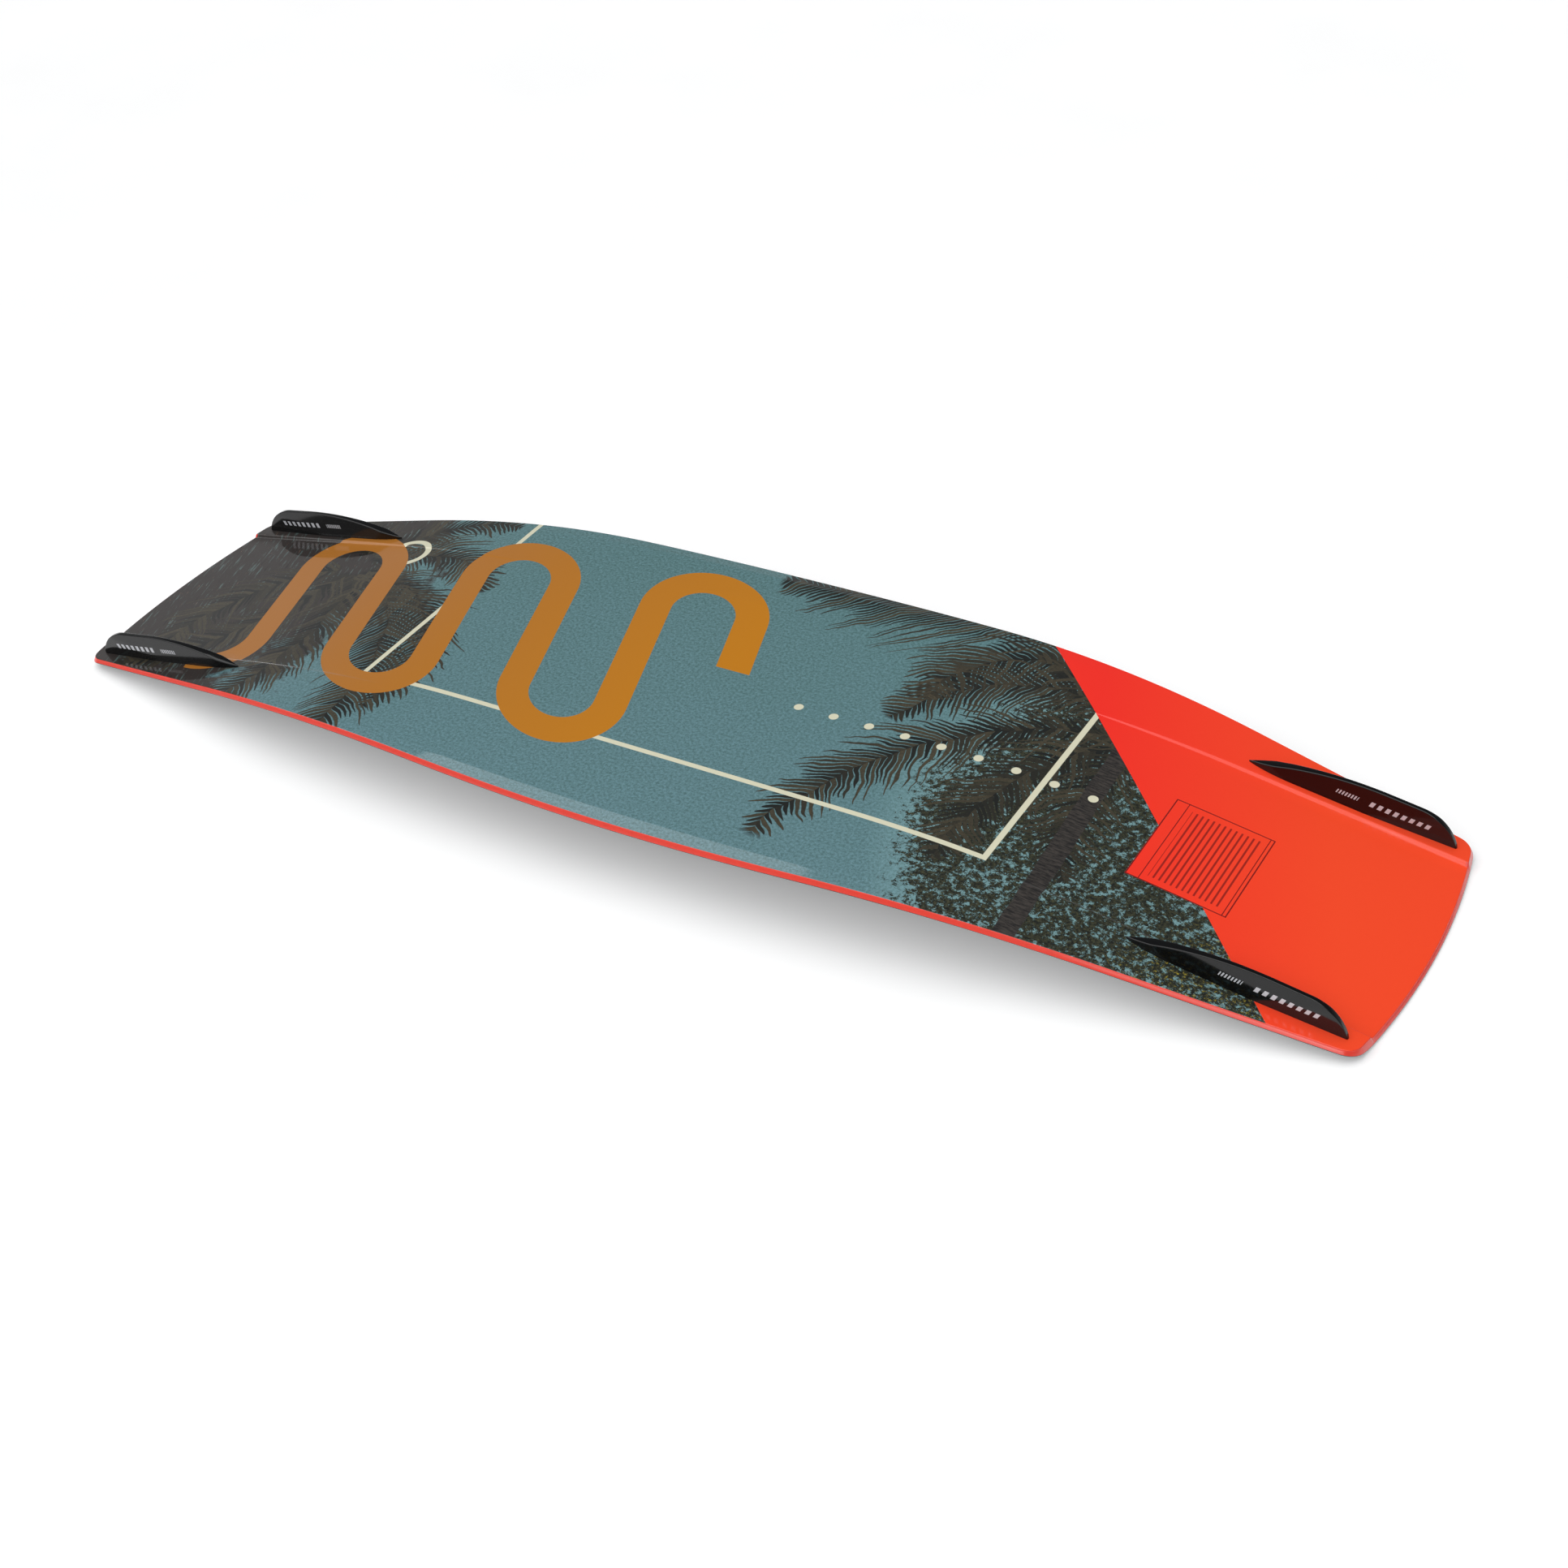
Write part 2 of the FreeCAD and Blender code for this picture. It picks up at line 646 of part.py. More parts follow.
for (end, side), row in rows.items():
    blank = doc.addObject("Part::Box", f"strip_blank_{end}_{side}")
    row_length = f"insert_pitch * {INSERTS_IN_ROW - 1} + strip_margin * 2"
    blank.setExpression("Length", cell(row_length))
    blank.setExpression("Width", cell("strip_width"))
    blank.setExpression("Height", cell("strip_height"))
    corner = FreeCAD.Vector(
        ENDS[end] * size["stance_half"] - number(row_length) / 2,
        SIDES[side] * size["insert_rows"] / 2 - size["strip_width"] / 2,
        -size["deck_thickness"] + skin + laminate)
    blank.Placement = FreeCAD.Placement(corner + lift, FreeCAD.Rotation())
    pockets = put(f"insert_pockets_{end}_{side}", copies(insert_outside.Shape, row))
    strip = doc.addObject("Part::Cut", f"insert_strip_{end}_{side}")
    strip.Base = blank
    strip.Tool = pockets
    doc.recompute()
    # The recess opens through the core's deck side, so its box starts in the laminate.
    recess_height = size["strip_height"] + laminate
    space = Part.makeBox(blank.Length, blank.Width, recess_height, corner - up * laminate)
    core = core.cut(space)
put("core", core)

# ---- Fins ----

for end_name, end in ENDS.items():
    for side_name, side in SIDES.items():
        name = f"fin_{end_name}_{side_name}"
        fin = doc.addObject("PartDesign::Body", f"{name}_body")
        plan = add_sketch(fin, f"{name}_plan", "XY_Plane")
        draw_outline(plan, [
            ("fin_width / 2", "0 - fin_width / 2"),
            ("fin_taper_start", "0 - fin_width / 2"),
            ("fin_length - fin_end_width / 2", "0 - fin_end_width / 2"),
            ("fin_length - fin_end_width / 2", "fin_end_width / 2"),
            ("fin_taper_start", "fin_width / 2"),
            ("fin_width / 2", "fin_width / 2"),
        ], arcs={
            2: (("fin_length - fin_end_width / 2", "0"), 1),
            5: (("fin_width / 2", "0"), 1),
        })
        pad(fin, plan, f"{name}_blank", "fin_height")

        profile = add_sketch(fin, f"{name}_profile", "XZ_Plane")
        crest_centre = (
            "fin_crest_start",
            "fin_height - ((fin_crest_start - fin_ramp_length) ^ 2"
            " + (fin_height - fin_ramp_height) ^ 2) / (2 * (fin_height - fin_ramp_height))",
        )
        end_centre = (
            "fin_crest_end",
            "fin_height - ((fin_length - fin_crest_end) ^ 2 + fin_height ^ 2)"
            " / (2 * fin_height)",
        )
        draw_outline(profile, [
            ("0", "fin_nose"),
            ("fin_ramp_length", "fin_ramp_height"),
            ("fin_crest_start", "fin_height"),
            ("fin_crest_end", "fin_height"),
            ("fin_length", "0"),
            ("fin_length + fin_width", "0"),
            ("fin_length + fin_width", "fin_height * 2"),
            ("0 - fin_width", "fin_height * 2"),
            ("0 - fin_width", "fin_nose"),
        ], arcs={1: (crest_centre, -1), 3: (end_centre, -1)})
        pocket(fin, profile, f"{name}_crest", both_ways=True)

        for hand, sign in (("left", "1"), ("right", "-1")):
            flank = add_sketch(fin, f"{name}_{hand}_flank", "YZ_Plane")
            draw_outline(flank, [
                (f"{sign} * fin_width / 2", "0"),
                (f"{sign} * fin_width", "0"),
                (f"{sign} * fin_width", "fin_height"),
                (f"{sign} * fin_crest / 2", "fin_height"),
            ])
            pocket(fin, flank, f"{name}_{hand}_draft", both_ways=True)

        for index, sign in enumerate(("-", "+")):
            bore = add_sketch(fin, f"{name}_bore_{index}", "XY_Plane")
            place = f"fin_length / 2 {sign} fin_hole_step / 2"
            circle = Part.Circle(
                FreeCAD.Vector(number(place), 0, 0), FreeCAD.Vector(0, 0, 1),
                size["fin_insert_diameter"] / 2)
            ring = bore.addGeometry(circle)
            bore.addConstraint(Sketcher.Constraint("PointOnObject", ring, 3, -1))
            across = bore.addConstraint(
                Sketcher.Constraint("DistanceX", -1, 1, ring, 3, number(place)))
            bore.setExpression(f"Constraints[{across}]", cell(place))
            wide = bore.addConstraint(
                Sketcher.Constraint("Diameter", ring, size["fin_insert_diameter"]))
            bore.setExpression(f"Constraints[{wide}]", cell("fin_insert_diameter"))
            pocket(fin, bore, f"{name}_bore_cut_{index}", "fin_seat + fin_insert_length")

        frame = fin_placement(end, side)
        sink = FreeCAD.Placement(FreeCAD.Vector(0, 0, -size["fin_seat"]), FreeCAD.Rotation())
        fin.Placement = FreeCAD.Placement(lift, FreeCAD.Rotation()).multiply(frame).multiply(sink)
        seated = doc.addObject("Part::Cut", name)
        seated.Base = fin
        seated.Tool = base_sheet
        doc.recompute()

# ---- Checks and export ----

NODES = [
    "base_sheet", "bottom_laminate", "core", "top_laminate", "top_sheet",
    "rail_heel_side", "rail_toe_side", "tip_spacer_front", "tip_spacer_back",
    "binding_inserts", "fin_inserts", "fin_plugs", "fin_screws", "fin_washers",
]
NODES += [f"insert_strip_{end}_{side}" for end in ENDS for side in SIDES]
NODES += [f"fin_{end}_{side}" for end in ENDS for side in SIDES]

doc.recompute()
for item in doc.Objects:
    if "Invalid" in item.State or "Error" in item.State:
        raise RuntimeError(f"{item.Name} failed: {item.State}")
os.makedirs("parts", exist_ok=True)
for name in NODES:
    node = doc.getObject(name)
    if node.Shape.isNull() or not node.Shape.isValid():
        raise RuntimeError(f"{name} has no valid shape")
    node.Shape.exportStep(f"parts/{name}.step")
    print(name, len(node.Shape.Solids), round(node.Shape.Volume))
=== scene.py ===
"""A wakeboard lying deck down: printed base, coral edge, ramp fins, deck and fastenings."""

import math

import bmesh
import bpy
import numpy as np
from mathutils import Matrix, Vector


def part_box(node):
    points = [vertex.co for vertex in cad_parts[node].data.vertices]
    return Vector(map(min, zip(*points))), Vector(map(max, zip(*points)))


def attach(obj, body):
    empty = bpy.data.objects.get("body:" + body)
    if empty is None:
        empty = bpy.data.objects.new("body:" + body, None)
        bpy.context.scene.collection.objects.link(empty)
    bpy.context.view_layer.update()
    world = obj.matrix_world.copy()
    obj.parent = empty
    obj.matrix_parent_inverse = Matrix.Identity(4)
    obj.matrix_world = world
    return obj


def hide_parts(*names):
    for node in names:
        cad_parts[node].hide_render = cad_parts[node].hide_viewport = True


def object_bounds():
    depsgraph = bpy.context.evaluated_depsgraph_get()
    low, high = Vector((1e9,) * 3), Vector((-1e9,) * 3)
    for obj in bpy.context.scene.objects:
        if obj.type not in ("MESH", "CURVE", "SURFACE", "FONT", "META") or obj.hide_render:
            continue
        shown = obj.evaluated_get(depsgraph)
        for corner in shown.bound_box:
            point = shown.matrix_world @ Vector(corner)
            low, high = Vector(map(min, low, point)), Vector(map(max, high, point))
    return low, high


bl_info = {
    "name": "Wakeboard Finishes",
    "version": (1, 0, 0),
    "blender": (4, 5, 0),
    "location": "3D View > Sidebar > Wakeboard",
    "description": "Surfaces, print, fins and fastenings of a twin-tip wakeboard",
    "category": "Add Mesh",
}

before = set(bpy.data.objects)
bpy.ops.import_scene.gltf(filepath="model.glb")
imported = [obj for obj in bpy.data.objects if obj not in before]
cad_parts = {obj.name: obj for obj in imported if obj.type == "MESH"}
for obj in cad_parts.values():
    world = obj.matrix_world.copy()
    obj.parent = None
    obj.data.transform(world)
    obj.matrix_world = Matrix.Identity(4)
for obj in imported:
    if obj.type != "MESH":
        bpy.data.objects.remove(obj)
CAD_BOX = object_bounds()
MM = 0.001


def linear(red, green, blue):
    """A display colour from 0 to 255, as the linear colour that shaders take."""
    shares = np.array((red, green, blue)) / 255.0
    values = np.where(shares <= 0.04045, shares / 12.92, ((shares + 0.055) / 1.055) ** 2.4)
    return tuple(float(value) for value in values)


def length_property(name, millimetres, description):
    return bpy.props.FloatProperty(
        name=name, description=description, default=millimetres * MM, unit="LENGTH", precision=5)


def colour_property(name, red, green, blue, description):
    return bpy.props.FloatVectorProperty(
        name=name, description=description, default=linear(red, green, blue),
        subtype="COLOR", size=3, min=0.0, max=1.0)


# ---- What a user can change ----

class BoardForm(bpy.types.PropertyGroup):
    """The lines of the board."""

    outline_radius: length_property("Outline Radius", 3332, "Side curve of the outline")
    taper_length: length_property("Taper Length", 239, "Straight taper at each tip")
    tip_radius: length_property("Tip Radius", 740, "Curve of each tip")
    corner_radius: length_property("Corner Radius", 17, "Corner between tip and side")
    edge_slant: length_property("Edge Slant", 2, "How far the base rim lies inside the deck edge")
    edge_round: length_property("Edge Round", 1, "Rounding of the base rim and of the deck edge")
    flat_length: length_property("Flat Length", 400, "Level middle of the base")
    rocker_radius: length_property("Rocker Radius", 1567, "Curve of the base rocker")
    ramp_angle: bpy.props.FloatProperty(
        name="Ramp Angle", description="Slope of the base at the tips",
        default=math.radians(10.2), subtype="ANGLE")
    channel_depth: length_property("Channel Depth", 3.5, "Depth of the channel at the tips")
    channel_fade: length_property("Channel Fade", 395, "Length over which the channel runs out")
    channel_margin: length_property("Channel Margin", 13, "Fin's middle line to the channel's side")
    riser_run: length_property("Riser Run", 2, "Width of the channel's sloping side")
    crease_half_width: length_property("Crease Half Width", 144, "Half width of the flat base")
    crease_drop: length_property("Crease Drop", 1.4, "Fall from the crease to the rail bevel")
    crease_length: length_property("Crease Length", 660, "Length of the two creases")
    rail_width: length_property("Rail Width", 13, "Width of the rail, and of the bevel over it")
    rail_bevel: length_property("Rail Bevel", 2.4, "Fall of the bevel at the middle")
    bevel_length: length_property("Bevel Length", 860, "Length of the rail bevels")
    edge_middle: length_property("Edge at Middle", 6, "Height of the edge at the middle")
    edge_tip: length_property("Edge at Tips", 4, "Height of the edge at the tips")
    deck_thickness: length_property("Thickness", 18, "Board thickness at the middle")
    ramp_thickness: length_property("Ramp Thickness", 11, "Board thickness on the ramps")
    deck_bevel_middle: length_property("Deck Border at Middle", 60, "Width of the deck's sloping border")
    deck_bevel_tip: length_property("Deck Border at Tips", 20, "Width of that border at the tips")
    tip_bevel: length_property("Tip Bevel", 45, "Length over which the deck thins to the tip")
    sheet_thickness: length_property("Sheet Thickness", 1, "Base sheet and top sheet")
    strip_margin: length_property("Strip Margin", 8, "Level deck beyond the last insert")


class FinForm(bpy.types.PropertyGroup):
    """The lines of a ramp fin."""

    length: length_property("Length", 194, "Fin, along its base")
    height: length_property("Height", 25.4, "Fin, above the base")
    width: length_property("Width", 11.5, "Fin, across its base")
    crest: length_property("Crest", 4.5, "Width of the crest")
    end_width: length_property("End Width", 4, "Width of the steep end")
    nose: length_property("Nose", 1.5, "Height of the low end")
    nose_length: length_property("Nose Length", 44, "Low end to where the plan is full width")
    taper_start: length_property("Taper Start", 110, "Low end to where the fin narrows")
    ramp_length: length_property("Ramp Length", 36, "Straight rise at the low end")
    ramp_height: length_property("Ramp Height", 13, "Height where that rise ends")
    crest_start: length_property("Crest Start", 128, "Low end to the level part of the crest")
    crest_end: length_property("Crest End", 156, "Low end to the end of the level part")
    crest_round: length_property("Crest Round", 0.9, "Rounding of the crest's edges")
    inset: length_property("Inset", 11, "Rim at the tip to the fin's middle line")
    hole_step: length_property("Hole Step", 80, "Distance between a fin's two screws")
    screw_head: length_property("Screw Head", 11, "Diameter of the fin screw's head")
    head_height: length_property("Head Height", 3.2, "Height of the screw's head")
    screw_diameter: length_property("Screw Diameter", 6, "Fin screw")
    screw_reach: length_property("Screw Reach", 7, "Screw beyond the base, into the fin")
    washer_diameter: length_property("Washer Diameter", 14, "Cup washer")
    washer_thickness: length_property("Washer Thickness", 1.2, "Thickness of the washer")
    clamp_thickness: length_property("Clamp", 8.8, "Board between the fin and the washer")
    clearance: length_property("Clearance", 0.3, "Gap round a screw or washer, each side")


class Finish(bpy.types.PropertyGroup):
    """Colours of the board."""

    sky: colour_property("Sky", 80, 118, 116, "Grainy sky of the print")
    sky_near: colour_property("Low Sky", 98, 132, 140, "Sky towards the toe side")
    frond_dark: colour_property("Frond Dark", 20, 23, 21, "Shaded palm leaves")
    frond_light: colour_property("Frond Light", 84, 76, 58, "Lit palm leaves")
    dusk: colour_property("Dusk", 50, 44, 42, "Dark end of the print")
    ribbon: colour_property("Ribbon", 198, 125, 4, "Ochre ribbon of the print")
    ribbon_far: colour_property("Ribbon Far End", 176, 112, 40, "Ochre at the dark end")
    cream: colour_property("Cream", 222, 219, 192, "Frame lines and marks of the print")
    coral: colour_property("Coral", 255, 74, 34, "Coral end of the print")
    coral_deep: colour_property("Deep Coral", 252, 44, 30, "Coral towards the middle")
    edge: colour_property("Edge", 232, 62, 46, "Coral edge")
    mark: colour_property("Marks", 118, 12, 12, "Outlined panel on the coral end")
    fin: colour_property("Fins", 6, 6, 7, "Glossy fins")
    deck: colour_property("Deck", 46, 48, 52, "Top sheet")


# ---- The form of the board: x along it, y across it, heights from the middle of the base ----

def form():
    return bpy.context.scene.board_form


def fin_form():
    return bpy.context.scene.fin_form


def finish():
    return bpy.context.scene.board_finish


def half_length():
    return CAD_BOX[1].x


def base_level():
    """Height of the base at the middle: the binding inserts' mouths lie in the level deck."""
    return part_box("binding_inserts")[0].z + form().deck_thickness


def along(x, start, end):
    """How far x has gone from start to end, from 0 to 1."""
    return np.clip((x - start) / (end - start), 0.0, 1.0)


def middle_fade(x, length):
    """1 at the middle, falling to 0 at half of length as a squared cosine."""
    return np.cos(np.pi / 2 * along(x, 0.0, length / 2)) ** 2


def side_slope(x):
    """Slope of the side curve, which stays the same along the straight taper."""
    start = half_length() - form().taper_length
    place = np.minimum(x, start)
    return place / np.sqrt(form().outline_radius ** 2 - place ** 2)


def side_half_width(x, inset=0.0):
    """Half width at the base rim, less inset: a circle's arc, then its tangent."""
    radius = form().outline_radius
    start = half_length() - form().taper_length
    half = CAD_BOX[1].y - form().edge_slant
    arc_fall = radius - np.sqrt(radius ** 2 - np.minimum(x, start) ** 2)
    taper_fall = side_slope(start) * np.maximum(0.0, x - start)
    return half - arc_fall - taper_fall - inset * np.sqrt(1 + side_slope(x) ** 2)


def tip_corner():
    """Middle of the tip's arc, and the centre of the corner that touches arc and side."""
    tip_middle = half_length() - form().edge_slant - form().tip_radius
    corner = form().corner_radius
    angle = math.atan(side_slope(half_length()))
    centre_x = half_length() - corner
    for _ in range(20):
        centre_y = side_half_width(centre_x) - corner / math.cos(angle)
        centre_x = tip_middle + math.sqrt((form().tip_radius - corner) ** 2 - centre_y ** 2)
    return tip_middle, centre_x, centre_y, angle


def outline_half_width(x, inset):
    """Half width of the outline moved in by inset: side, then corner arc, then tip arc."""
    tip_middle, centre_x, centre_y, angle = tip_corner()
    corner = form().corner_radius - inset
    tip = form().tip_radius - inset
    tip_turn = math.atan2(centre_y, centre_x - tip_middle)
    corner_arc = centre_y + np.sqrt(np.maximum(0.0, corner ** 2 - (x - centre_x) ** 2))
    tip_arc = np.sqrt(np.maximum(0.0, tip ** 2 - (x - tip_middle) ** 2))
    half = np.where(x > centre_x + corner * math.sin(angle), corner_arc, side_half_width(x, inset))
    half = np.where(x > centre_x + corner * math.cos(tip_turn), tip_arc, half)
    return np.where(x > tip_middle + tip, -1.0, half)


def rocker_height(x):
    """Base height: level, then an arc, then a straight ramp."""
    radius = form().rocker_radius
    ramp = form().ramp_angle
    arc_run = radius * math.sin(ramp)
    run = x - form().flat_length / 2
    arc = np.sqrt(radius ** 2 - np.clip(run, 0.0, arc_run) ** 2) - radius
    return arc - math.tan(ramp) * np.maximum(0.0, run - arc_run)


def channel_height(x):
    """Floor of the channel, which deepens evenly towards the tip."""
    fade = along(x, half_length() - form().channel_fade, half_length())
    return rocker_height(x) - form().channel_depth * fade


def deck_height(x):
    """Deck: level under the feet, then an arc, then parallel to the ramp, thinner at the tip."""
    g = form()
    ramp = g.ramp_angle
    level = -g.deck_thickness
    foot_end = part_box("insert_strip_front_heel")[1].x
    ramp_start = g.flat_length / 2 + g.rocker_radius * math.sin(ramp)
    ramp_line = rocker_height(ramp_start) - g.ramp_thickness - math.tan(ramp) * (x - ramp_start)
    corner = x + (ramp_line - level) / math.tan(ramp)
    radius = (corner - foot_end) / math.tan(ramp / 2)
    run = np.clip(x - foot_end, 0.0, radius * math.sin(ramp))
    arc = level - radius + np.sqrt(radius ** 2 - run ** 2)
    thinning = g.ramp_thickness - g.channel_depth - g.edge_tip
    tip_line = ramp_line + thinning * along(x, half_length() - g.tip_bevel, half_length())
    return np.where(x - foot_end < radius * math.sin(ramp), arc, tip_line)


def fin_line():
    return side_half_width(half_length()) - fin_form().inset


def base_corners(x):
    """Corners of the base's half cross-section, as rows of y and of height."""
    g = form()
    rocker = rocker_height(x)
    rim = side_half_width(x)
    channel_half = fin_line() - g.channel_margin
    bevel_inner = rim - g.rail_width
    crease = np.minimum(g.crease_half_width, (channel_half + bevel_inner) / 2)
    bevel = rocker - g.crease_drop * middle_fade(x, g.crease_length)
    rim_height = bevel - g.rail_bevel * middle_fade(x, g.bevel_length)
    riser = g.riser_run / 2
    across = [channel_half - riser + 0 * x, channel_half + riser + 0 * x, crease, bevel_inner, rim]
    return np.array(across), np.array([channel_height(x), rocker, rocker, bevel, rim_height])


def deck_corners(x):
    """Corners of the deck's half cross-section: the border's inner line and the edge."""
    g = form()
    across, heights = base_corners(x)
    edge_height = g.edge_middle + (g.edge_tip - g.edge_middle) * (x / half_length()) ** 2
    border = g.deck_bevel_middle + (g.deck_bevel_tip - g.deck_bevel_middle) * x / half_length()
    return (np.array([across[-1] - border, across[-1] + g.edge_slant]),
            np.array([deck_height(x), heights[-1] - edge_height]))


BASE_ROUNDS = (0.8 * MM, 0.8 * MM, 2.0 * MM, 1.2 * MM)
DECK_ROUNDS = (6.0 * MM,)


def rounded_ramp(past, radius):
    """0 before a corner and the distance past it after, joined by a parabola."""
    joined = (past + radius) ** 2 / (4 * radius)
    return np.where(past > radius, past, np.where(past < -radius, 0.0, joined))


def section_height(x, y, corners, rounds):
    """Height of a cross-section: straight runs between corners, each corner rounded."""
    across, heights = corners(np.abs(x))
    slopes = np.diff(heights, axis=0) / np.diff(across, axis=0)
    turns = np.diff(slopes, axis=0, prepend=0 * slopes[:1])
    height = heights[0] + base_level()
    for corner, turn, radius in zip(across, turns, rounds):
        height = height + turn * rounded_ramp(np.abs(y) - corner, radius)
    return height


def base_surface(x, y):
    return section_height(x, y, base_corners, BASE_ROUNDS)


def deck_surface(x, y):
    return section_height(x, y, deck_corners, DECK_ROUNDS)


# ---- Grids and meshes ----

LENGTHWISE = 240       # spans of the board's grids along the board


def column_marks(x, inset, corners, rounds):
    """Lines that the grid's columns follow: each side of every corner, and the rim."""
    across, _ = corners(x)
    marks = [0 * x]
    for corner, radius in zip(across, rounds):
        marks += [corner - radius, corner + radius]
    return np.array(marks + [side_half_width(x, inset)])


def column_shares(spans):
    """Where the columns lie, in marks: even in each span, and closer towards the rim."""
    shares = [np.arange(count) / count + mark for mark, count in enumerate(spans[:-1])]
    last = np.arange(spans[-1] + 1) / spans[-1]
    return np.concatenate(shares + [len(spans) - 1 + 1 - (1 - last) ** 2])


def columns_at(x, shares, inset, corners, rounds):
    """How far out each column lies at its own x."""
    marks = column_marks(x, inset, corners, rounds)
    low = np.minimum(shares.astype(int), len(marks) - 2)
    part = shares - low
    picked = np.arange(len(shares))
    return marks[low, picked] * (1 - part) + marks[low + 1, picked] * part


def board_grid(spans, inset, corners, rounds):
    """x and y of a grid that fills the outline: each column runs until it meets the tip.

    The meeting place is halved down to between the middle and the tip, and the column's x
    goes evenly from one tip to the other.
    """
    shares = column_shares(spans)
    near, far = np.zeros(len(shares)), np.full(len(shares), half_length())
    for _ in range(40):
        middle = (near + far) / 2
        y = columns_at(middle, shares, inset, corners, rounds)
        inside = y <= outline_half_width(middle, inset) + 1e-9
        near, far = np.where(inside, middle, near), np.where(inside, far, middle)
    steps = np.linspace(-1.0, 1.0, LENGTHWISE + 1)
    x = steps[:, None] * near[None, :]
    rows = [columns_at(np.abs(row), shares, inset, corners, rounds) for row in x]
    y = np.array(rows)
    return (np.concatenate([x[:, :0:-1], x], axis=1),
            np.concatenate([-y[:, :0:-1], y], axis=1))


def grid_faces(rows, columns, start=0, closed=False):
    """Quads of a grid of vertices numbered row by row; closed joins its last column to its first."""
    index = np.arange(rows * columns).reshape(rows, columns) + start
    if closed:
        index = np.concatenate([index, index[:, :1]], axis=1)
    quads = [index[:-1, :-1], index[:-1, 1:], index[1:, 1:], index[1:, :-1]]
    return np.stack(quads, axis=-1).reshape(-1, 4)


def border_loop(rows, columns):
    """Numbers of a grid's border vertices, once round and anticlockwise from above."""
    index = np.arange(rows * columns).reshape(rows, columns)
    return np.concatenate([index[:-1, 0], index[-1, :-1], index[:0:-1, -1], index[0, :0:-1]])


def outward(points):
    """Level normals of a closed anticlockwise loop, from its neighbours on both sides."""
    ahead = np.roll(points, -1, axis=0) - points
    behind = points - np.roll(points, 1, axis=0)
    ahead /= np.linalg.norm(ahead[:, :2], axis=1)[:, None]
    behind /= np.linalg.norm(behind[:, :2], axis=1)[:, None]
    tangent = ahead + behind
    normal = np.stack([tangent[:, 1], -tangent[:, 0], 0 * tangent[:, 0]], axis=1)
    return normal / np.linalg.norm(normal, axis=1)[:, None]


def signed_volume(points, faces):
    """Six times the volume inside quads, positive if they face outwards."""
    total = 0.0
    for first, second, third in ((0, 1, 2), (0, 2, 3)):
        a, b, c = points[faces[:, first]], points[faces[:, second]], points[faces[:, third]]
        total += np.einsum("ij,ij->i", a, np.cross(b, c)).sum()
    return total


def closed_mesh(name, points, faces):
    """A mesh that faces outwards, with its seams and poles merged."""
    if signed_volume(points - points.mean(axis=0), faces) < 0:
        faces = faces[:, ::-1]
    mesh = bpy.data.meshes.new(name)
    mesh.from_pydata(points.tolist(), [], faces.tolist())
    merge_doubles(mesh)
    return mesh


def with_holes(mesh, points, faces):
    """The mesh less a closed cutting shape."""
    body = bpy.data.objects.new("uncut", mesh)
    cutter = bpy.data.objects.new("cutter", closed_mesh("cutter", points, faces))
    for item in (body, cutter):
        bpy.context.scene.collection.objects.link(item)
    holes = body.modifiers.new("holes", "BOOLEAN")
    holes.operation = "DIFFERENCE"
    holes.object = cutter
    cut = bpy.data.meshes.new_from_object(
        body.evaluated_get(bpy.context.evaluated_depsgraph_get()))
    for item in (body, cutter):
        bpy.data.objects.remove(item)
    return cut


def merge_doubles(mesh):
    work = bmesh.new()
    work.from_mesh(mesh)
    bmesh.ops.remove_doubles(work, verts=work.verts, dist=1e-6)
    bmesh.ops.dissolve_degenerate(work, edges=work.edges, dist=1e-7)
    work.to_mesh(mesh)
    work.free()


def new_piece(name, mesh, material, replaced, sharp=40.0):
    """A piece that stands for CAD nodes and rides on the board."""
    mesh.shade_smooth()
    mesh.set_sharp_from_angle(angle=math.radians(sharp))
    piece = bpy.data.objects.new(name, mesh)
    bpy.context.scene.collection.objects.link(piece)
    piece.data.materials.clear()
    piece.data.materials.append(material)
    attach(piece, "root")
    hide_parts(*replaced)
    return piece


def sheet_solid(x, y, surface, way, thickness):
    """Points and quads of a sheet: its outer face, a rounded rim and its inner face.

    The rim is a quarter circle carried round the outline, and way is 1 where the outer face
    is the upper one.
    """
    rows, columns = x.shape
    outer = np.stack([x, y, surface(x, y)], axis=-1).reshape(-1, 3)
    loop = border_loop(rows, columns)
    normals = outward(outer[loop])
    down = np.array([0.0, 0.0, -way])
    rings = []
    for turn in np.radians([22.5, 45.0, 67.5, 90.0]):
        out = form().edge_round * math.sin(turn)
        fall = form().edge_round * (1 - math.cos(turn))
        rings.append(outer[loop] + normals * out + down * fall)
    inner = outer + down * thickness
    points = np.concatenate([outer, inner] + rings)
    faces = [grid_faces(rows, columns), grid_faces(rows, columns, len(outer))[:, ::-1]]
    bands = [loop] + [2 * len(outer) + step * len(loop) + np.arange(len(loop))
                      for step in range(len(rings))]
    bands.append(loop + len(outer))
    for low, high in zip(bands, bands[1:]):
        faces.append(np.stack([low, high, np.roll(high, -1), np.roll(low, -1)], axis=-1))
    return points, np.concatenate(faces)


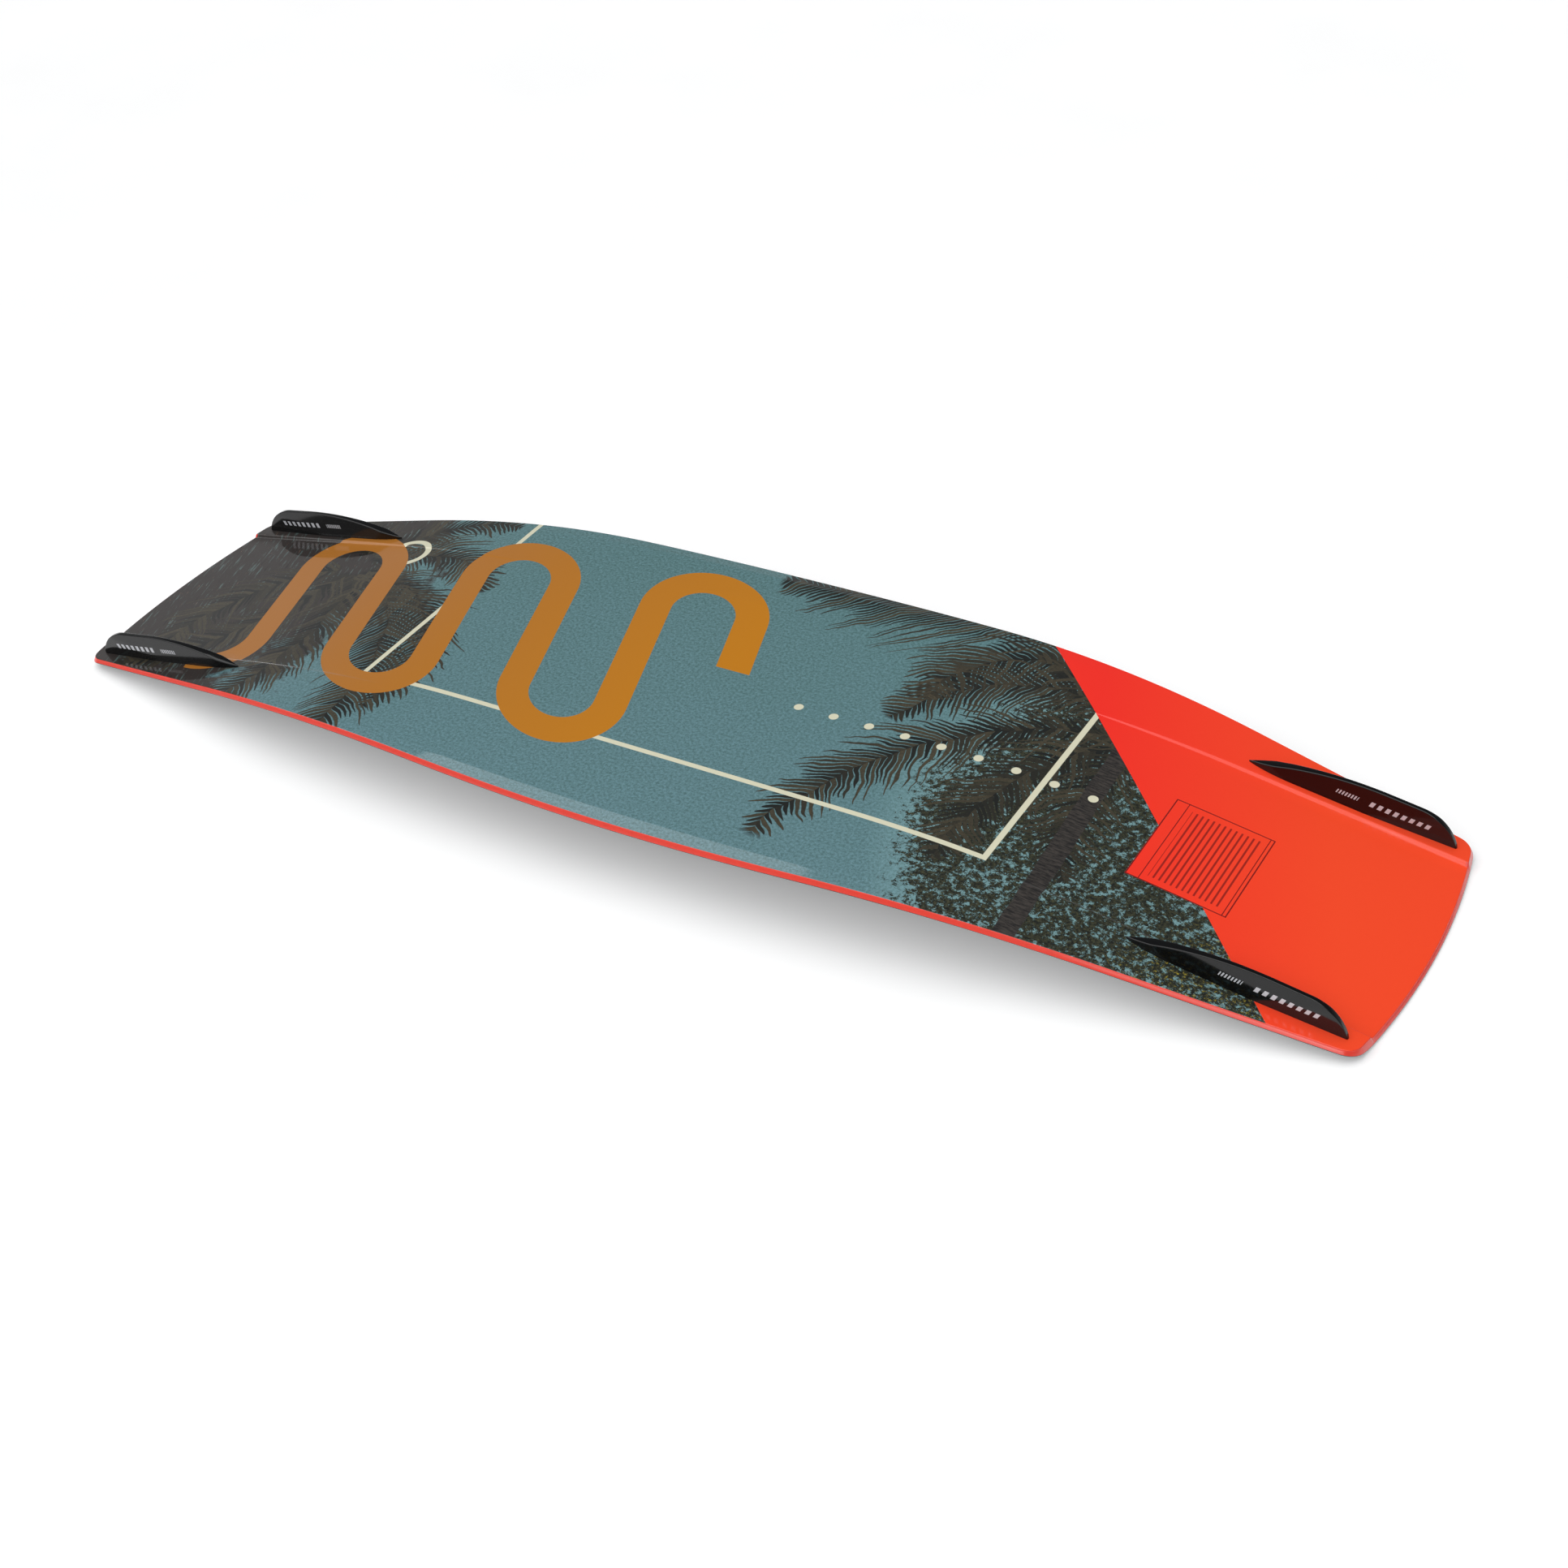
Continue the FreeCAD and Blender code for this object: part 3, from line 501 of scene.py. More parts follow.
def turned(rows, segments=24):
    """A turned solid with closed poles. Each row is a radius, a height and a side count.

    A side count of 0 gives a circle. Any other gives a polygon with that many sides, whose
    corners are at the radius: its radius at an angle is the apothem over the cosine of the
    angle from the nearest side's middle.
    """
    angles = np.arange(segments) / segments * 2 * np.pi
    rings = []
    for radius, height, sides in rows:
        reach = np.full(segments, radius)
        if sides:
            half = np.pi / sides
            reach = radius * math.cos(half) / np.cos((angles % (2 * half)) - half)
        ring = [reach * np.cos(angles), reach * np.sin(angles), np.full(segments, height)]
        rings.append(np.stack(ring, axis=-1))
    return np.concatenate(rings), grid_faces(len(rows), segments, closed=True)


def repeated(points, faces, places):
    """The same shape at several places, each a 4 by 4 matrix."""
    placed, numbered = [], []
    for count, place in enumerate(places):
        turn = np.array(place)[:3, :3]
        placed.append(points @ turn.T + np.array(place)[:3, 3])
        numbered.append(faces + count * len(points))
    return np.concatenate(placed), np.concatenate(numbered)


# ---- Fields: a value that varies over a surface ----

class Field:
    """Sums done with a field become Math nodes in its node tree."""

    def __init__(self, tree, socket):
        self.tree = tree
        self.socket = socket

    def math(self, operation, *others, clamp=False):
        node = self.tree.nodes.new("ShaderNodeMath")
        node.operation = operation
        node.use_clamp = clamp
        for socket, value in zip(node.inputs, (self, *others)):
            if isinstance(value, Field):
                self.tree.links.new(value.socket, socket)
            else:
                socket.default_value = value
        return Field(self.tree, node.outputs[0])

    def __add__(self, other):
        return self.math("ADD", other)

    def __sub__(self, other):
        return self.math("SUBTRACT", other)

    def __mul__(self, other):
        return self.math("MULTIPLY", other)

    def __truediv__(self, other):
        return self.math("DIVIDE", other)

    def __rsub__(self, other):
        return self.math("MULTIPLY_ADD", -1.0, other)

    def __abs__(self):
        return self.math("ABSOLUTE")

    __radd__ = __add__
    __rmul__ = __mul__

    def highest(self, other):
        return self.math("MAXIMUM", other)

    def lowest(self, other):
        return self.math("MINIMUM", other)

    def below(self, edge, blur):
        """1 where the field is under edge, 0 where it is over, blurred between."""
        return ((edge - self) / blur).math("ADD", 0.5, clamp=True)

    def above(self, edge, blur):
        return ((self - edge) / blur).math("ADD", 0.5, clamp=True)

    def between(self, low, high, blur):
        return self.above(low, blur) * self.below(high, blur)


def place_fields(tree):
    """x, y and z of a point on the board, in metres, from its own coordinates."""
    source = tree.nodes.new("ShaderNodeTexCoord")
    split = tree.nodes.new("ShaderNodeSeparateXYZ")
    tree.links.new(source.outputs["Object"], split.inputs[0])
    return [Field(tree, split.outputs[axis]) for axis in range(3)]


def point(tree, x, y, z=0.0):
    """A position made of three fields or numbers."""
    joined = tree.nodes.new("ShaderNodeCombineXYZ")
    for socket, value in zip(joined.inputs, (x, y, z)):
        if isinstance(value, Field):
            tree.links.new(value.socket, socket)
        else:
            socket.default_value = value
    return joined.outputs[0]


def noise(tree, position, scale, detail=2.0, roughness=0.5):
    """Fractal noise, mostly between 0.3 and 0.7."""
    node = tree.nodes.new("ShaderNodeTexNoise")
    node.inputs["Scale"].default_value = scale
    node.inputs["Detail"].default_value = detail
    node.inputs["Roughness"].default_value = roughness
    tree.links.new(position, node.inputs["Vector"])
    return Field(tree, node.outputs["Fac"])


def mix(tree, share, low, high):
    """A colour between two colours, each a field or a plain colour."""
    node = tree.nodes.new("ShaderNodeMix")
    node.data_type = "RGBA"
    for name, value in ((0, share), (6, low), (7, high)):
        socket = node.inputs[name]
        if isinstance(value, Field):
            tree.links.new(value.socket, socket)
        elif name == 0:
            socket.default_value = value
        else:
            socket.default_value = (*value[:3], 1.0)
    return Field(tree, node.outputs[2])


def new_material(name, **sockets):
    """A material and its shader, with constant values set on the shader's own sockets."""
    material = bpy.data.materials.new(name)
    material.use_nodes = True
    shader = material.node_tree.nodes["Principled BSDF"]
    for socket, value in sockets.items():
        label = socket.replace("_", " ").title().replace("Ior", "IOR")
        shader.inputs[label].default_value = value
    return material, material.node_tree, shader


def feed(tree, field, socket):
    tree.links.new(field.socket, socket)


def bump(tree, shader, height, strength, distance, socket="Normal"):
    """Relief from a height field."""
    node = tree.nodes.new("ShaderNodeBump")
    node.inputs["Strength"].default_value = strength
    node.inputs["Distance"].default_value = distance
    feed(tree, height, node.inputs["Height"])
    tree.links.new(node.outputs["Normal"], shader.inputs[socket])


def scaled(colour, share):
    """A colour made darker or lighter by a share."""
    return tuple(channel * share for channel in colour[:3])


# ---- The print ----

def frond_group():
    """A palm frond: a rib along an arc, with leaflets that leave it forwards and droop.

    A point's place is its run along the arc and its distance from it. Leaflets are even
    stripes in the run less a share of the distance; each has its own random length and
    narrows to its end.
    """
    group = bpy.data.node_groups.new("palm_frond", "ShaderNodeTree")
    names = ("X", "Y", "Root X", "Root Y", "Heading", "Radius", "Side", "Length", "Leaf", "Seed")
    for name in names:
        group.interface.new_socket(name, in_out="INPUT", socket_type="NodeSocketFloat")
    for name in ("Mask", "Tone"):
        group.interface.new_socket(name, in_out="OUTPUT", socket_type="NodeSocketFloat")
    source = group.nodes.new("NodeGroupInput")
    x, y, root_x, root_y, heading, radius, side, length, leaf, seed = [
        Field(group, source.outputs[name]) for name in names]
    forward, sideways = heading.math("COSINE"), heading.math("SINE")
    from_x, from_y = x - root_x, y - root_y
    ahead = from_x * forward + from_y * sideways
    left = (from_y * forward - from_x * sideways) * side
    to_centre = radius - left
    reach = (ahead * ahead + to_centre * to_centre).math("SQRT")
    run = ahead.math("ARCTAN2", to_centre) * radius
    offset = radius - reach
    distance = abs(offset)
    share = run / length
    phase = (run - distance * 0.75 - distance * distance * 5.0) / 0.0066
    chance = group.nodes.new("ShaderNodeTexWhiteNoise")
    chance.noise_dimensions = "1D"
    feed(group, phase.math("FLOOR") + offset.math("SIGN") * 37.3 + seed, chance.inputs["W"])
    tone = Field(group, chance.outputs["Value"])
    swell = (share * 0.9 + 0.06).math("ADD", 0.0, clamp=True) * math.pi
    envelope = swell.math("SINE").math("POWER", 0.6) * leaf * (tone * 0.75 + 0.5)
    taper = (1 - distance / envelope).math("ADD", 0.0, clamp=True)
    stripe = abs(phase.math("FRACT") - 0.5).below(taper.math("POWER", 0.5) * 0.47, 0.09)
    leaflets = stripe * taper.above(0.03, 0.05) * share.between(0.0, 1.0, 0.02)
    rib = distance.below(0.0019 - share * 0.0013, 0.0005) * share.between(0.0, 0.96, 0.02)
    sink = group.nodes.new("NodeGroupOutput")
    feed(group, leaflets.highest(rib), sink.inputs["Mask"])
    feed(group, tone, sink.inputs["Tone"])
    return group


# Each frond: root x and y, heading in degrees, arc radius, side it bends to, length and leaf
# length, all in millimetres. The first group hangs from the right palm, the second from the left.
FRONDS = (
    (262, 210, 178, 1600, 1, 300, 74),
    (318, 160, 152, 88, 1, 196, 56),
    (352, 132, 166, 150, 1, 230, 50),
    (378, 104, 196, 330, 1, 380, 46),
    (384, 96, 222, 260, 1, 250, 44),
    (388, 92, 250, 220, 1, 200, 40),
    (380, 100, 120, 130, 1, 150, 44),
    (-470, 66, 330, 300, -1, 360, 52),
    (-455, 58, 352, 190, -1, 300, 46),
    (-480, 84, 36, 120, -1, 190, 40),
    (-486, 92, 66, 150, -1, 170, 38),
    (-478, 60, 296, 330, -1, 290, 48),
    (-492, 60, 262, 300, -1, 270, 46),
    (-500, 96, 120, 160, 1, 190, 44),
    (-512, 66, 205, 180, 1, 230, 46),
)


def fronds(tree, x, y):
    """All fronds: where there is a leaf, and how light it is."""
    group = frond_group()
    mask = tone = None
    for number, (root_x, root_y, heading, radius, side, length, leaf) in enumerate(FRONDS):
        node = tree.nodes.new("ShaderNodeGroup")
        node.node_tree = group
        feed(tree, x, node.inputs["X"])
        feed(tree, y, node.inputs["Y"])
        values = {
            "Root X": root_x * MM, "Root Y": root_y * MM, "Heading": math.radians(heading),
            "Radius": radius * MM, "Side": side, "Length": length * MM, "Leaf": leaf * MM,
            "Seed": 11.7 * number,
        }
        for name, value in values.items():
            node.inputs[name].default_value = value
        leaf_mask = Field(tree, node.outputs["Mask"])
        leaf_tone = Field(tree, node.outputs["Tone"]) * leaf_mask
        mask = leaf_mask if mask is None else mask.highest(leaf_mask)
        tone = leaf_tone if tone is None else tone.highest(leaf_tone)
    return mask, tone


RIBBON_PITCH = 108 * MM         # from a stem to the next, in sheared coordinates
RIBBON_LAST_TOP = -42 * MM      # middle of the last upper half circle
RIBBON_CUT_END = 34 * MM        # the last stem is cut level here
RIBBON_BENDS = 5.11             # half circles left of the last upper one
CUT_BLUR = 0.6 * MM
LINE_BLUR = 0.4 * MM


def ribbon_mask(x, y):
    """A wave ribbon: slanting straight runs joined by half circles above and below.

    In coordinates sheared along the board, the distance from the wave is measured from the
    nearest half circle's middle, less the circle's radius.
    """
    pitch, last_top = RIBBON_PITCH, RIBBON_LAST_TOP
    sheared = x + y * 0.34
    top = x * 0.09 + 0.112
    bottom = x * 0.03 - 0.058
    across_top = sheared.math("WRAP", last_top - pitch, last_top + pitch) - last_top
    above = (y - top).highest(0.0)
    over = abs((across_top * across_top + above * above).math("SQRT") - pitch / 2)
    across_low = pitch - abs(across_top)
    beneath = (bottom - y).highest(0.0)
    under = abs((across_low * across_low + beneath * beneath).math("SQRT") - pitch / 2)
    high = y.above((top + bottom) * 0.5, 1e-5)
    distance = over * high + under * (1 - high)
    first = sheared.above(last_top - RIBBON_BENDS * pitch, CUT_BLUR)
    last = sheared.below(last_top, CUT_BLUR).highest(
        sheared.below(last_top + pitch, CUT_BLUR) * y.above(RIBBON_CUT_END, CUT_BLUR))
    return distance.below(x * 0.006 + 0.0185, CUT_BLUR) * first * last


FRAME_HALF_LINE = 2.75 * MM
FRAME_LEFT, FRAME_RIGHT, FRAME_FOOT = -333 * MM, 338 * MM, -108 * MM
FRAME_LEFT_TOP, FRAME_RIGHT_TOP = 192 * MM, 130 * MM
DOT_FIRST, DOT_ROW = 88 * MM, 9 * MM
DOT_HALF_PITCH, DOT_RADIUS = 18.5 * MM, 4.6 * MM
RING_X, RING_Y, RING_RADIUS, RING_HALF_LINE = -448 * MM, 105 * MM, 22 * MM, 3.4 * MM


def distance_from(x, y, centre_x, centre_y):
    """Distance of a point from a centre."""
    away_x, away_y = x - centre_x, y - centre_y
    return (away_x * away_x + away_y * away_y).math("SQRT")


def cream_mask(x, y):
    """Frame lines, a row of even dots and a small ring."""
    line, low = FRAME_HALF_LINE, FRAME_FOOT - FRAME_HALF_LINE
    left = abs(x - FRAME_LEFT).below(line, LINE_BLUR) * y.between(low, FRAME_LEFT_TOP, LINE_BLUR)
    right = abs(x - FRAME_RIGHT).below(line, LINE_BLUR) * y.between(low, FRAME_RIGHT_TOP, LINE_BLUR)
    foot = abs(y - FRAME_FOOT).below(line, LINE_BLUR) * x.between(FRAME_LEFT, FRAME_RIGHT, LINE_BLUR)
    dot_x = (x - DOT_FIRST).math("PINGPONG", DOT_HALF_PITCH)
    dots = distance_from(dot_x, y, 0.0, DOT_ROW).below(DOT_RADIUS, CUT_BLUR)
    dots = dots * x.between(DOT_FIRST - 10 * MM, DOT_FIRST + 306 * MM, LINE_BLUR)
    ring = abs(distance_from(x, y, RING_X, RING_Y) - RING_RADIUS).below(RING_HALF_LINE, CUT_BLUR)
    return left.highest(right).highest(foot).highest(dots).highest(ring)


PANEL_X, PANEL_Y, PANEL_HALF_X, PANEL_HALF_Y = 490.5 * MM, -5.5 * MM, 45.5 * MM, 55.5 * MM
PANEL_LINES = (457 * MM, 532 * MM)
RULES_FROM, RULES_TO, RULES_HALF_LENGTH = 462.5 * MM, 528.5 * MM, 47.5 * MM
RULE_HALF_PITCH, RULE_HALF_WIDTH = 2.6 * MM, 0.85 * MM
FINE_BLUR = 0.3 * MM


def panel_masks(x, y):
    """The panel's area, and its outline, two side lines and even rules."""
    from_x, from_y = abs(x - PANEL_X), abs(y - PANEL_Y)
    area = from_x.below(PANEL_HALF_X, LINE_BLUR) * from_y.below(PANEL_HALF_Y, LINE_BLUR)
    depth = (PANEL_HALF_X - from_x).lowest(PANEL_HALF_Y - from_y)
    lines = depth.below(1.1 * MM, FINE_BLUR)
    for line_x in PANEL_LINES:
        lines = lines.highest(abs(x - line_x).below(0.4 * MM, FINE_BLUR))
    rules = (x - PANEL_LINES[0]).math("PINGPONG", RULE_HALF_PITCH).below(RULE_HALF_WIDTH, LINE_BLUR)
    rules = rules * x.between(RULES_FROM, RULES_TO, LINE_BLUR)
    rules = rules * from_y.below(RULES_HALF_LENGTH, LINE_BLUR)
    return area, lines.highest(rules * 0.8)


def sky_colour(tree, y, grain, cloud):
    """Sky: lighter towards the toe side and in clouds, with a strong grain."""
    tints = finish()
    lightness = (y * -2.2 + 0.42 + (cloud - 0.5) * 0.9).math("ADD", 0.0, clamp=True)
    sky = mix(tree, lightness, tints.sky, tints.sky_near)
    speck = ((grain - 0.34) * 3.2).math("ADD", 0.0, clamp=True)
    grainy = mix(tree, speck, scaled(tints.sky, 0.62), scaled(tints.sky_near, 1.42))
    return mix(tree, 0.62, sky, grainy)


def with_bushes(tree, colour, flat, x, y, grain, cloud):
    """Bushes under the right palm, with a lighter sky between the leaves."""
    leaf_noise = noise(tree, flat, 130.0, 9.0, 0.82)
    region = x.above(0.235 + y * 0.25, 0.09) * (y * 0.5 + x).above(0.20, 0.06)
    density = region * 0.19 + (cloud - 0.5) * 0.10
    bushes = leaf_noise.below(0.355 + density, 0.03) * region.above(0.25, 0.3)
    colour = mix(tree, region * grain * 1.2, colour, linear(132, 172, 176))
    tone = noise(tree, flat, 330.0, 4.0, 0.8)
    bush = mix(tree, (tone - 0.42) * 3.0, linear(16, 21, 19), linear(84, 84, 58))
    sunlit = (x - y * 0.6).above(0.585, 0.05) * tone.above(0.60, 0.06)
    bush = mix(tree, sunlit, bush, linear(168, 150, 40))
    return mix(tree, bushes, colour, bush)


def with_dark_end(tree, colour, flat, x, y):
    """The dark end, with long streaks of sky, shade and tan."""
    place = point(tree, (x + y * 0.35) * 260.0, y * 26.0)
    streaks = noise(tree, place, 1.0, 5.0, 0.65)
    border = noise(tree, flat, 22.0, 6.0, 0.7)
    dark = (x - (border - 0.5) * 0.42 + abs(y - 0.02) * 0.30).below(-0.395, 0.05)
    dusk = mix(tree, streaks.above(0.60, 0.07), finish().dusk, linear(84, 100, 98))
    dusk = mix(tree, streaks.below(0.36, 0.06), dusk, linear(28, 26, 26))
    tan = noise(tree, place, 2.3, 3.0, 0.7).above(0.69, 0.05)
    dusk = mix(tree, tan, dusk, linear(142, 112, 94))
    return mix(tree, dark, colour, dusk)


def with_palms(tree, colour, flat, x, y, grain):
    """Fronds, in slightly wavy coordinates, and the leaning trunk over them."""
    waver = 0.018
    wave = noise(tree, flat, 26.0, 2.0)
    cross_wave = noise(tree, point(tree, y, x), 24.0, 2.0)
    leaf, tone = fronds(tree, x + (wave - 0.5) * waver, y + (cross_wave - 0.5) * waver)
    lit = tone.math("POWER", 1.6) * (grain * 1.3)
    leaf_colour = mix(tree, lit, finish().frond_dark, finish().frond_light)
    colour = mix(tree, leaf, colour, leaf_colour)
    middle = 0.383 - y * 0.055 + (wave - 0.5) * 0.006
    trunk = abs(x - middle).below(0.0092 - y * 0.006, 0.8 * MM) * y.below(0.088, 0.01)
    rings = noise(tree, point(tree, x * 90.0, y * 420.0), 1.0, 4.0, 0.7)
    bark = mix(tree, rings.above(0.5, 0.2), linear(30, 28, 28), linear(66, 61, 57))
    return mix(tree, trunk, colour, bark)


def with_coral_end(tree, colour, x, y):
    """The coral end, past a line across the board, with a ruled panel let into it."""
    tints = finish()
    coral = (x + y).above(0.4545, CUT_BLUR)
    area, lines = panel_masks(x, y)
    deep = (x + y * 0.4).below(0.50, 0.22)
    coral_colour = mix(tree, deep, tints.coral, tints.coral_deep)
    coral_colour = mix(tree, area * lines, coral_colour, tints.mark)
    return mix(tree, coral.highest(area), colour, coral_colour)


def with_rim(tree, colour, x, y):
    """The print stops at the rounded rim, where the coral edge shows."""
    normal = tree.nodes.new("ShaderNodeNewGeometry")
    split = tree.nodes.new("ShaderNodeSeparateXYZ")
    tree.links.new(normal.outputs["Normal"], split.inputs[0])
    at_rim = abs(y).above(0.1255, 1e-4).highest((abs(x) + y * y * 0.69).above(0.6905, 1e-4))
    rim = Field(tree, split.outputs[2]).below(0.86, 0.03) * at_rim
    return mix(tree, rim, colour, finish().edge)


def base_material():
    """The printed, glossy base, its print laid down from the back to the front."""
    tints = finish()
    material, tree, shader = new_material(
        "printed_base", roughness=0.5, specular_ior_level=0.12, coat_weight=1.0,
        coat_roughness=0.045, coat_ior=1.45)
    x, y, z = place_fields(tree)
    flat = point(tree, x, y)
    grain = noise(tree, flat, 360.0, 3.0, 0.75)
    cloud = noise(tree, flat, 9.0, 4.0, 0.55)
    colour = sky_colour(tree, y, grain, cloud)
    colour = with_bushes(tree, colour, flat, x, y, grain, cloud)
    colour = with_dark_end(tree, colour, flat, x, y)
    colour = with_palms(tree, colour, flat, x, y, grain)
    colour = mix(tree, cream_mask(x, y), colour, tints.cream)
    ochre = mix(tree, x.below(-0.22, 0.42), tints.ribbon, tints.ribbon_far)
    colour = mix(tree, ribbon_mask(x, y), colour, ochre)
    colour = with_coral_end(tree, colour, x, y)
    feed(tree, with_rim(tree, colour, x, y), shader.inputs["Base Color"])
    bump(tree, shader, noise(tree, flat, 14.0, 2.0), 0.25, 0.9 * MM, "Coat Normal")
    return material


# ---- Plain finishes ----

def speckled(name, low, high, scale, relief=0.0, **sockets):
    """A finish between two colours by fine noise, with a little relief."""
    material, tree, shader = new_material(name, **sockets)
    x, y, z = place_fields(tree)
    grain = noise(tree, point(tree, x, y, z), scale, 4.0, 0.6)
    feed(tree, mix(tree, (grain - 0.3) * 2.5, low, high), shader.inputs["Base Color"])
    if relief:
        bump(tree, shader, grain, 0.5, relief)
    return material


def edge_material():
    tint = finish().edge
    return speckled("coral_edge", scaled(tint, 0.92), tint, 160.0, 0.00005,
                    roughness=0.28, coat_weight=0.6, coat_roughness=0.12)


def fin_material():
    """Glossy black with a row of slanting bars and fine hatching on each flank."""
    material, tree, shader = new_material(
        "fin_gloss", roughness=0.12, specular_ior_level=0.4, coat_weight=0.15, coat_roughness=0.03)
    x, y, z = place_fields(tree)
    ramp = form().ramp_angle
    low_x, low_z = fin_root()
    from_root, above_root = abs(x) - low_x, z - low_z
    run = from_root * math.cos(ramp) - above_root * math.sin(ramp)
    rise = from_root * math.sin(ramp) + above_root * math.cos(ramp)
    lean = run - rise * 0.35
    hatch = lean.math("PINGPONG", 1.4 * MM).below(0.7 * MM, FINE_BLUR)
    hatch = hatch * lean.between(78 * MM, 98 * MM, FINE_BLUR)
    hatch = hatch * rise.between(9.5 * MM, 13.5 * MM, FINE_BLUR)
    bars = (lean - 3 * MM).math("PINGPONG", 3.6 * MM).below(1.9 * MM, FINE_BLUR)
    bars = bars * lean.between(106.5 * MM, 163.5 * MM, FINE_BLUR)
    bars = bars * rise.between(9.0 * MM, 14.0 * MM, FINE_BLUR)
    marks = hatch.highest(bars)
    scuff = noise(tree, point(tree, x, y, z), 420.0, 3.0, 0.7)
    black = mix(tree, scuff.above(0.66, 0.1), finish().fin, scaled(finish().fin, 1.8))
    feed(tree, mix(tree, marks, black, linear(196, 197, 202)), shader.inputs["Base Color"])
    return material


def deck_material():
    """Satin top sheet with a fine pebble grain and faint cloudy patches."""
    tints = finish()
    material, tree, shader = new_material(
        "deck_satin", roughness=0.38, coat_weight=0.25, coat_roughness=0.2)
    x, y, z = place_fields(tree)
    place = point(tree, x, y, z)
    grain = noise(tree, place, 700.0, 3.0, 0.6)
    cloud = noise(tree, place, 12.0, 4.0, 0.6)
    satin = mix(tree, (grain - 0.3) * 2.0, scaled(tints.deck, 0.75), tints.deck)
    satin = mix(tree, (cloud - 0.4) * 1.2, satin, scaled(tints.deck, 1.35))
    feed(tree, satin, shader.inputs["Base Color"])
    bump(tree, shader, grain, 0.35, 0.0001)
    return material


def metal(name, low, high, roughness):
    """Turned metal with a fine brushed grain."""
    return speckled(name, low, high, 900.0, 0.00003, metallic=1.0, roughness=roughness)


# ---- Pieces ----

BASE_SPANS = (10, 3, 1, 3, 5, 3, 5, 3, 10)
DECK_SPANS = (12, 4, 14)


def base_grid():
    return board_grid(BASE_SPANS, form().edge_round, base_corners, BASE_ROUNDS)


def make_base():
    """The base sheet, from its rounded rim in."""
    x, y = base_grid()
    points, faces = sheet_solid(x, y, base_surface, 1, form().sheet_thickness)
    mesh = closed_mesh("base_skin", points, faces)
    new_piece("base_skin", mesh, base_material(), ["base_sheet"], 50.0)


def edge_strip(points, normals, depth):
    """A closed strip under the rim, between the two sheets.

    Its outer wall leans out evenly from the base sheet to the top sheet, with a slight
    crown of half a sine; its inner wall stands a depth further in.
    """
    g = form()
    down = np.array([0.0, 0.0, -1.0])
    foot = points + normals * (g.edge_round + g.edge_slant)
    foot[:, 2] = deck_surface(foot[:, 0], foot[:, 1]) + g.sheet_thickness
    head = points + normals * g.edge_round + down * g.sheet_thickness
    inner = points - normals * (depth - g.edge_round)
    inner_foot, inner_head = inner.copy(), inner.copy()
    inner_foot[:, 2] = deck_surface(inner[:, 0], inner[:, 1]) + g.sheet_thickness
    inner_head[:, 2] = base_surface(inner[:, 0], inner[:, 1]) - g.sheet_thickness
    crown = 0.12 * MM
    wall = [head + (foot - head) * share + normals * crown * math.sin(math.pi * share)
            for share in np.linspace(0.0, 1.0, 7)]
    sections = np.stack(wall + [inner_foot, inner_head], axis=1)
    caps = [np.repeat(sections[end].mean(axis=0)[None, :], sections.shape[1], axis=0)
            for end in (0, -1)]
    rings = np.concatenate([caps[:1], sections, caps[1:]])
    return rings.reshape(-1, 3), grid_faces(len(rings), sections.shape[1], closed=True)


def make_edge():
    """Rails and tip spacers: parts of the border loop, on one side and one tip, mirrored."""
    x, y = base_grid()
    rows, columns = x.shape
    grid = np.stack([x, y, base_surface(x, y)], axis=-1).reshape(-1, 3)
    loop = grid[border_loop(rows, columns)]
    normals = outward(loop)
    half, bevel = sum(BASE_SPANS), sum(BASE_SPANS[:-1])
    front_near = rows - 1 + half - bevel
    front_far = rows - 1 + half + bevel
    back_far = 2 * (rows - 1) + (columns - 1) + (half - bevel)
    material = edge_material()
    spacer_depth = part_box("rail_heel_side")[1].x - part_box("core")[1].x + form().rail_width
    pieces = (
        ("rail", "heel_side", "toe_side", front_far, back_far, form().rail_width, (1, -1, 1)),
        ("tip_spacer", "front", "back", front_near, front_far, spacer_depth, (-1, 1, 1)),
    )
    for kind, first, second, start, end, depth, mirror in pieces:
        points, faces = edge_strip(loop[start:end + 1], normals[start:end + 1], depth)
        for place, factors in ((first, (1, 1, 1)), (second, mirror)):
            name = f"{kind}_{place}"
            mesh = closed_mesh(name, points * np.array(factors), faces)
            new_piece(f"{name}_skin", mesh, material, [name])


def fin_places():
    """The frame of each fin, by its CAD node: origin at its low end, X up the ramp."""
    places = {}
    root_x, root_z = fin_root()
    for end_name, end in (("front", 1), ("back", -1)):
        for side_name, side in (("heel", 1), ("toe", -1)):
            turn = Matrix.Rotation(0.0 if end > 0 else math.pi, 4, "Z")
            tilt = Matrix.Rotation(form().ramp_angle, 4, "Y")
            step = Matrix.Translation((end * root_x, side * fin_line(), root_z))
            places[f"fin_{end_name}_{side_name}"] = step @ turn @ tilt
    return places


def fin_root():
    """x and z of a fin's low end on the base."""
    root_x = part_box("fin_front_heel")[0].x
    return root_x, base_level() + float(rocker_height(root_x))


def fin_plan(run):
    """Half width in plan: a pointed nose that swells as a sine, a taper, a half round."""
    g = fin_form()
    wide, narrow = g.width / 2, g.end_width / 2
    nose = np.sin(np.pi / 2 * along(run, 0.0, g.nose_length) ** 0.8)
    taper = wide + (narrow - wide) * along(run, g.taper_start, g.length - narrow)
    past = np.maximum(0.0, run - (g.length - narrow))
    tail = np.sqrt(np.maximum(0.0, narrow ** 2 - past ** 2))
    return np.where(past > 0.0, tail, taper * nose)


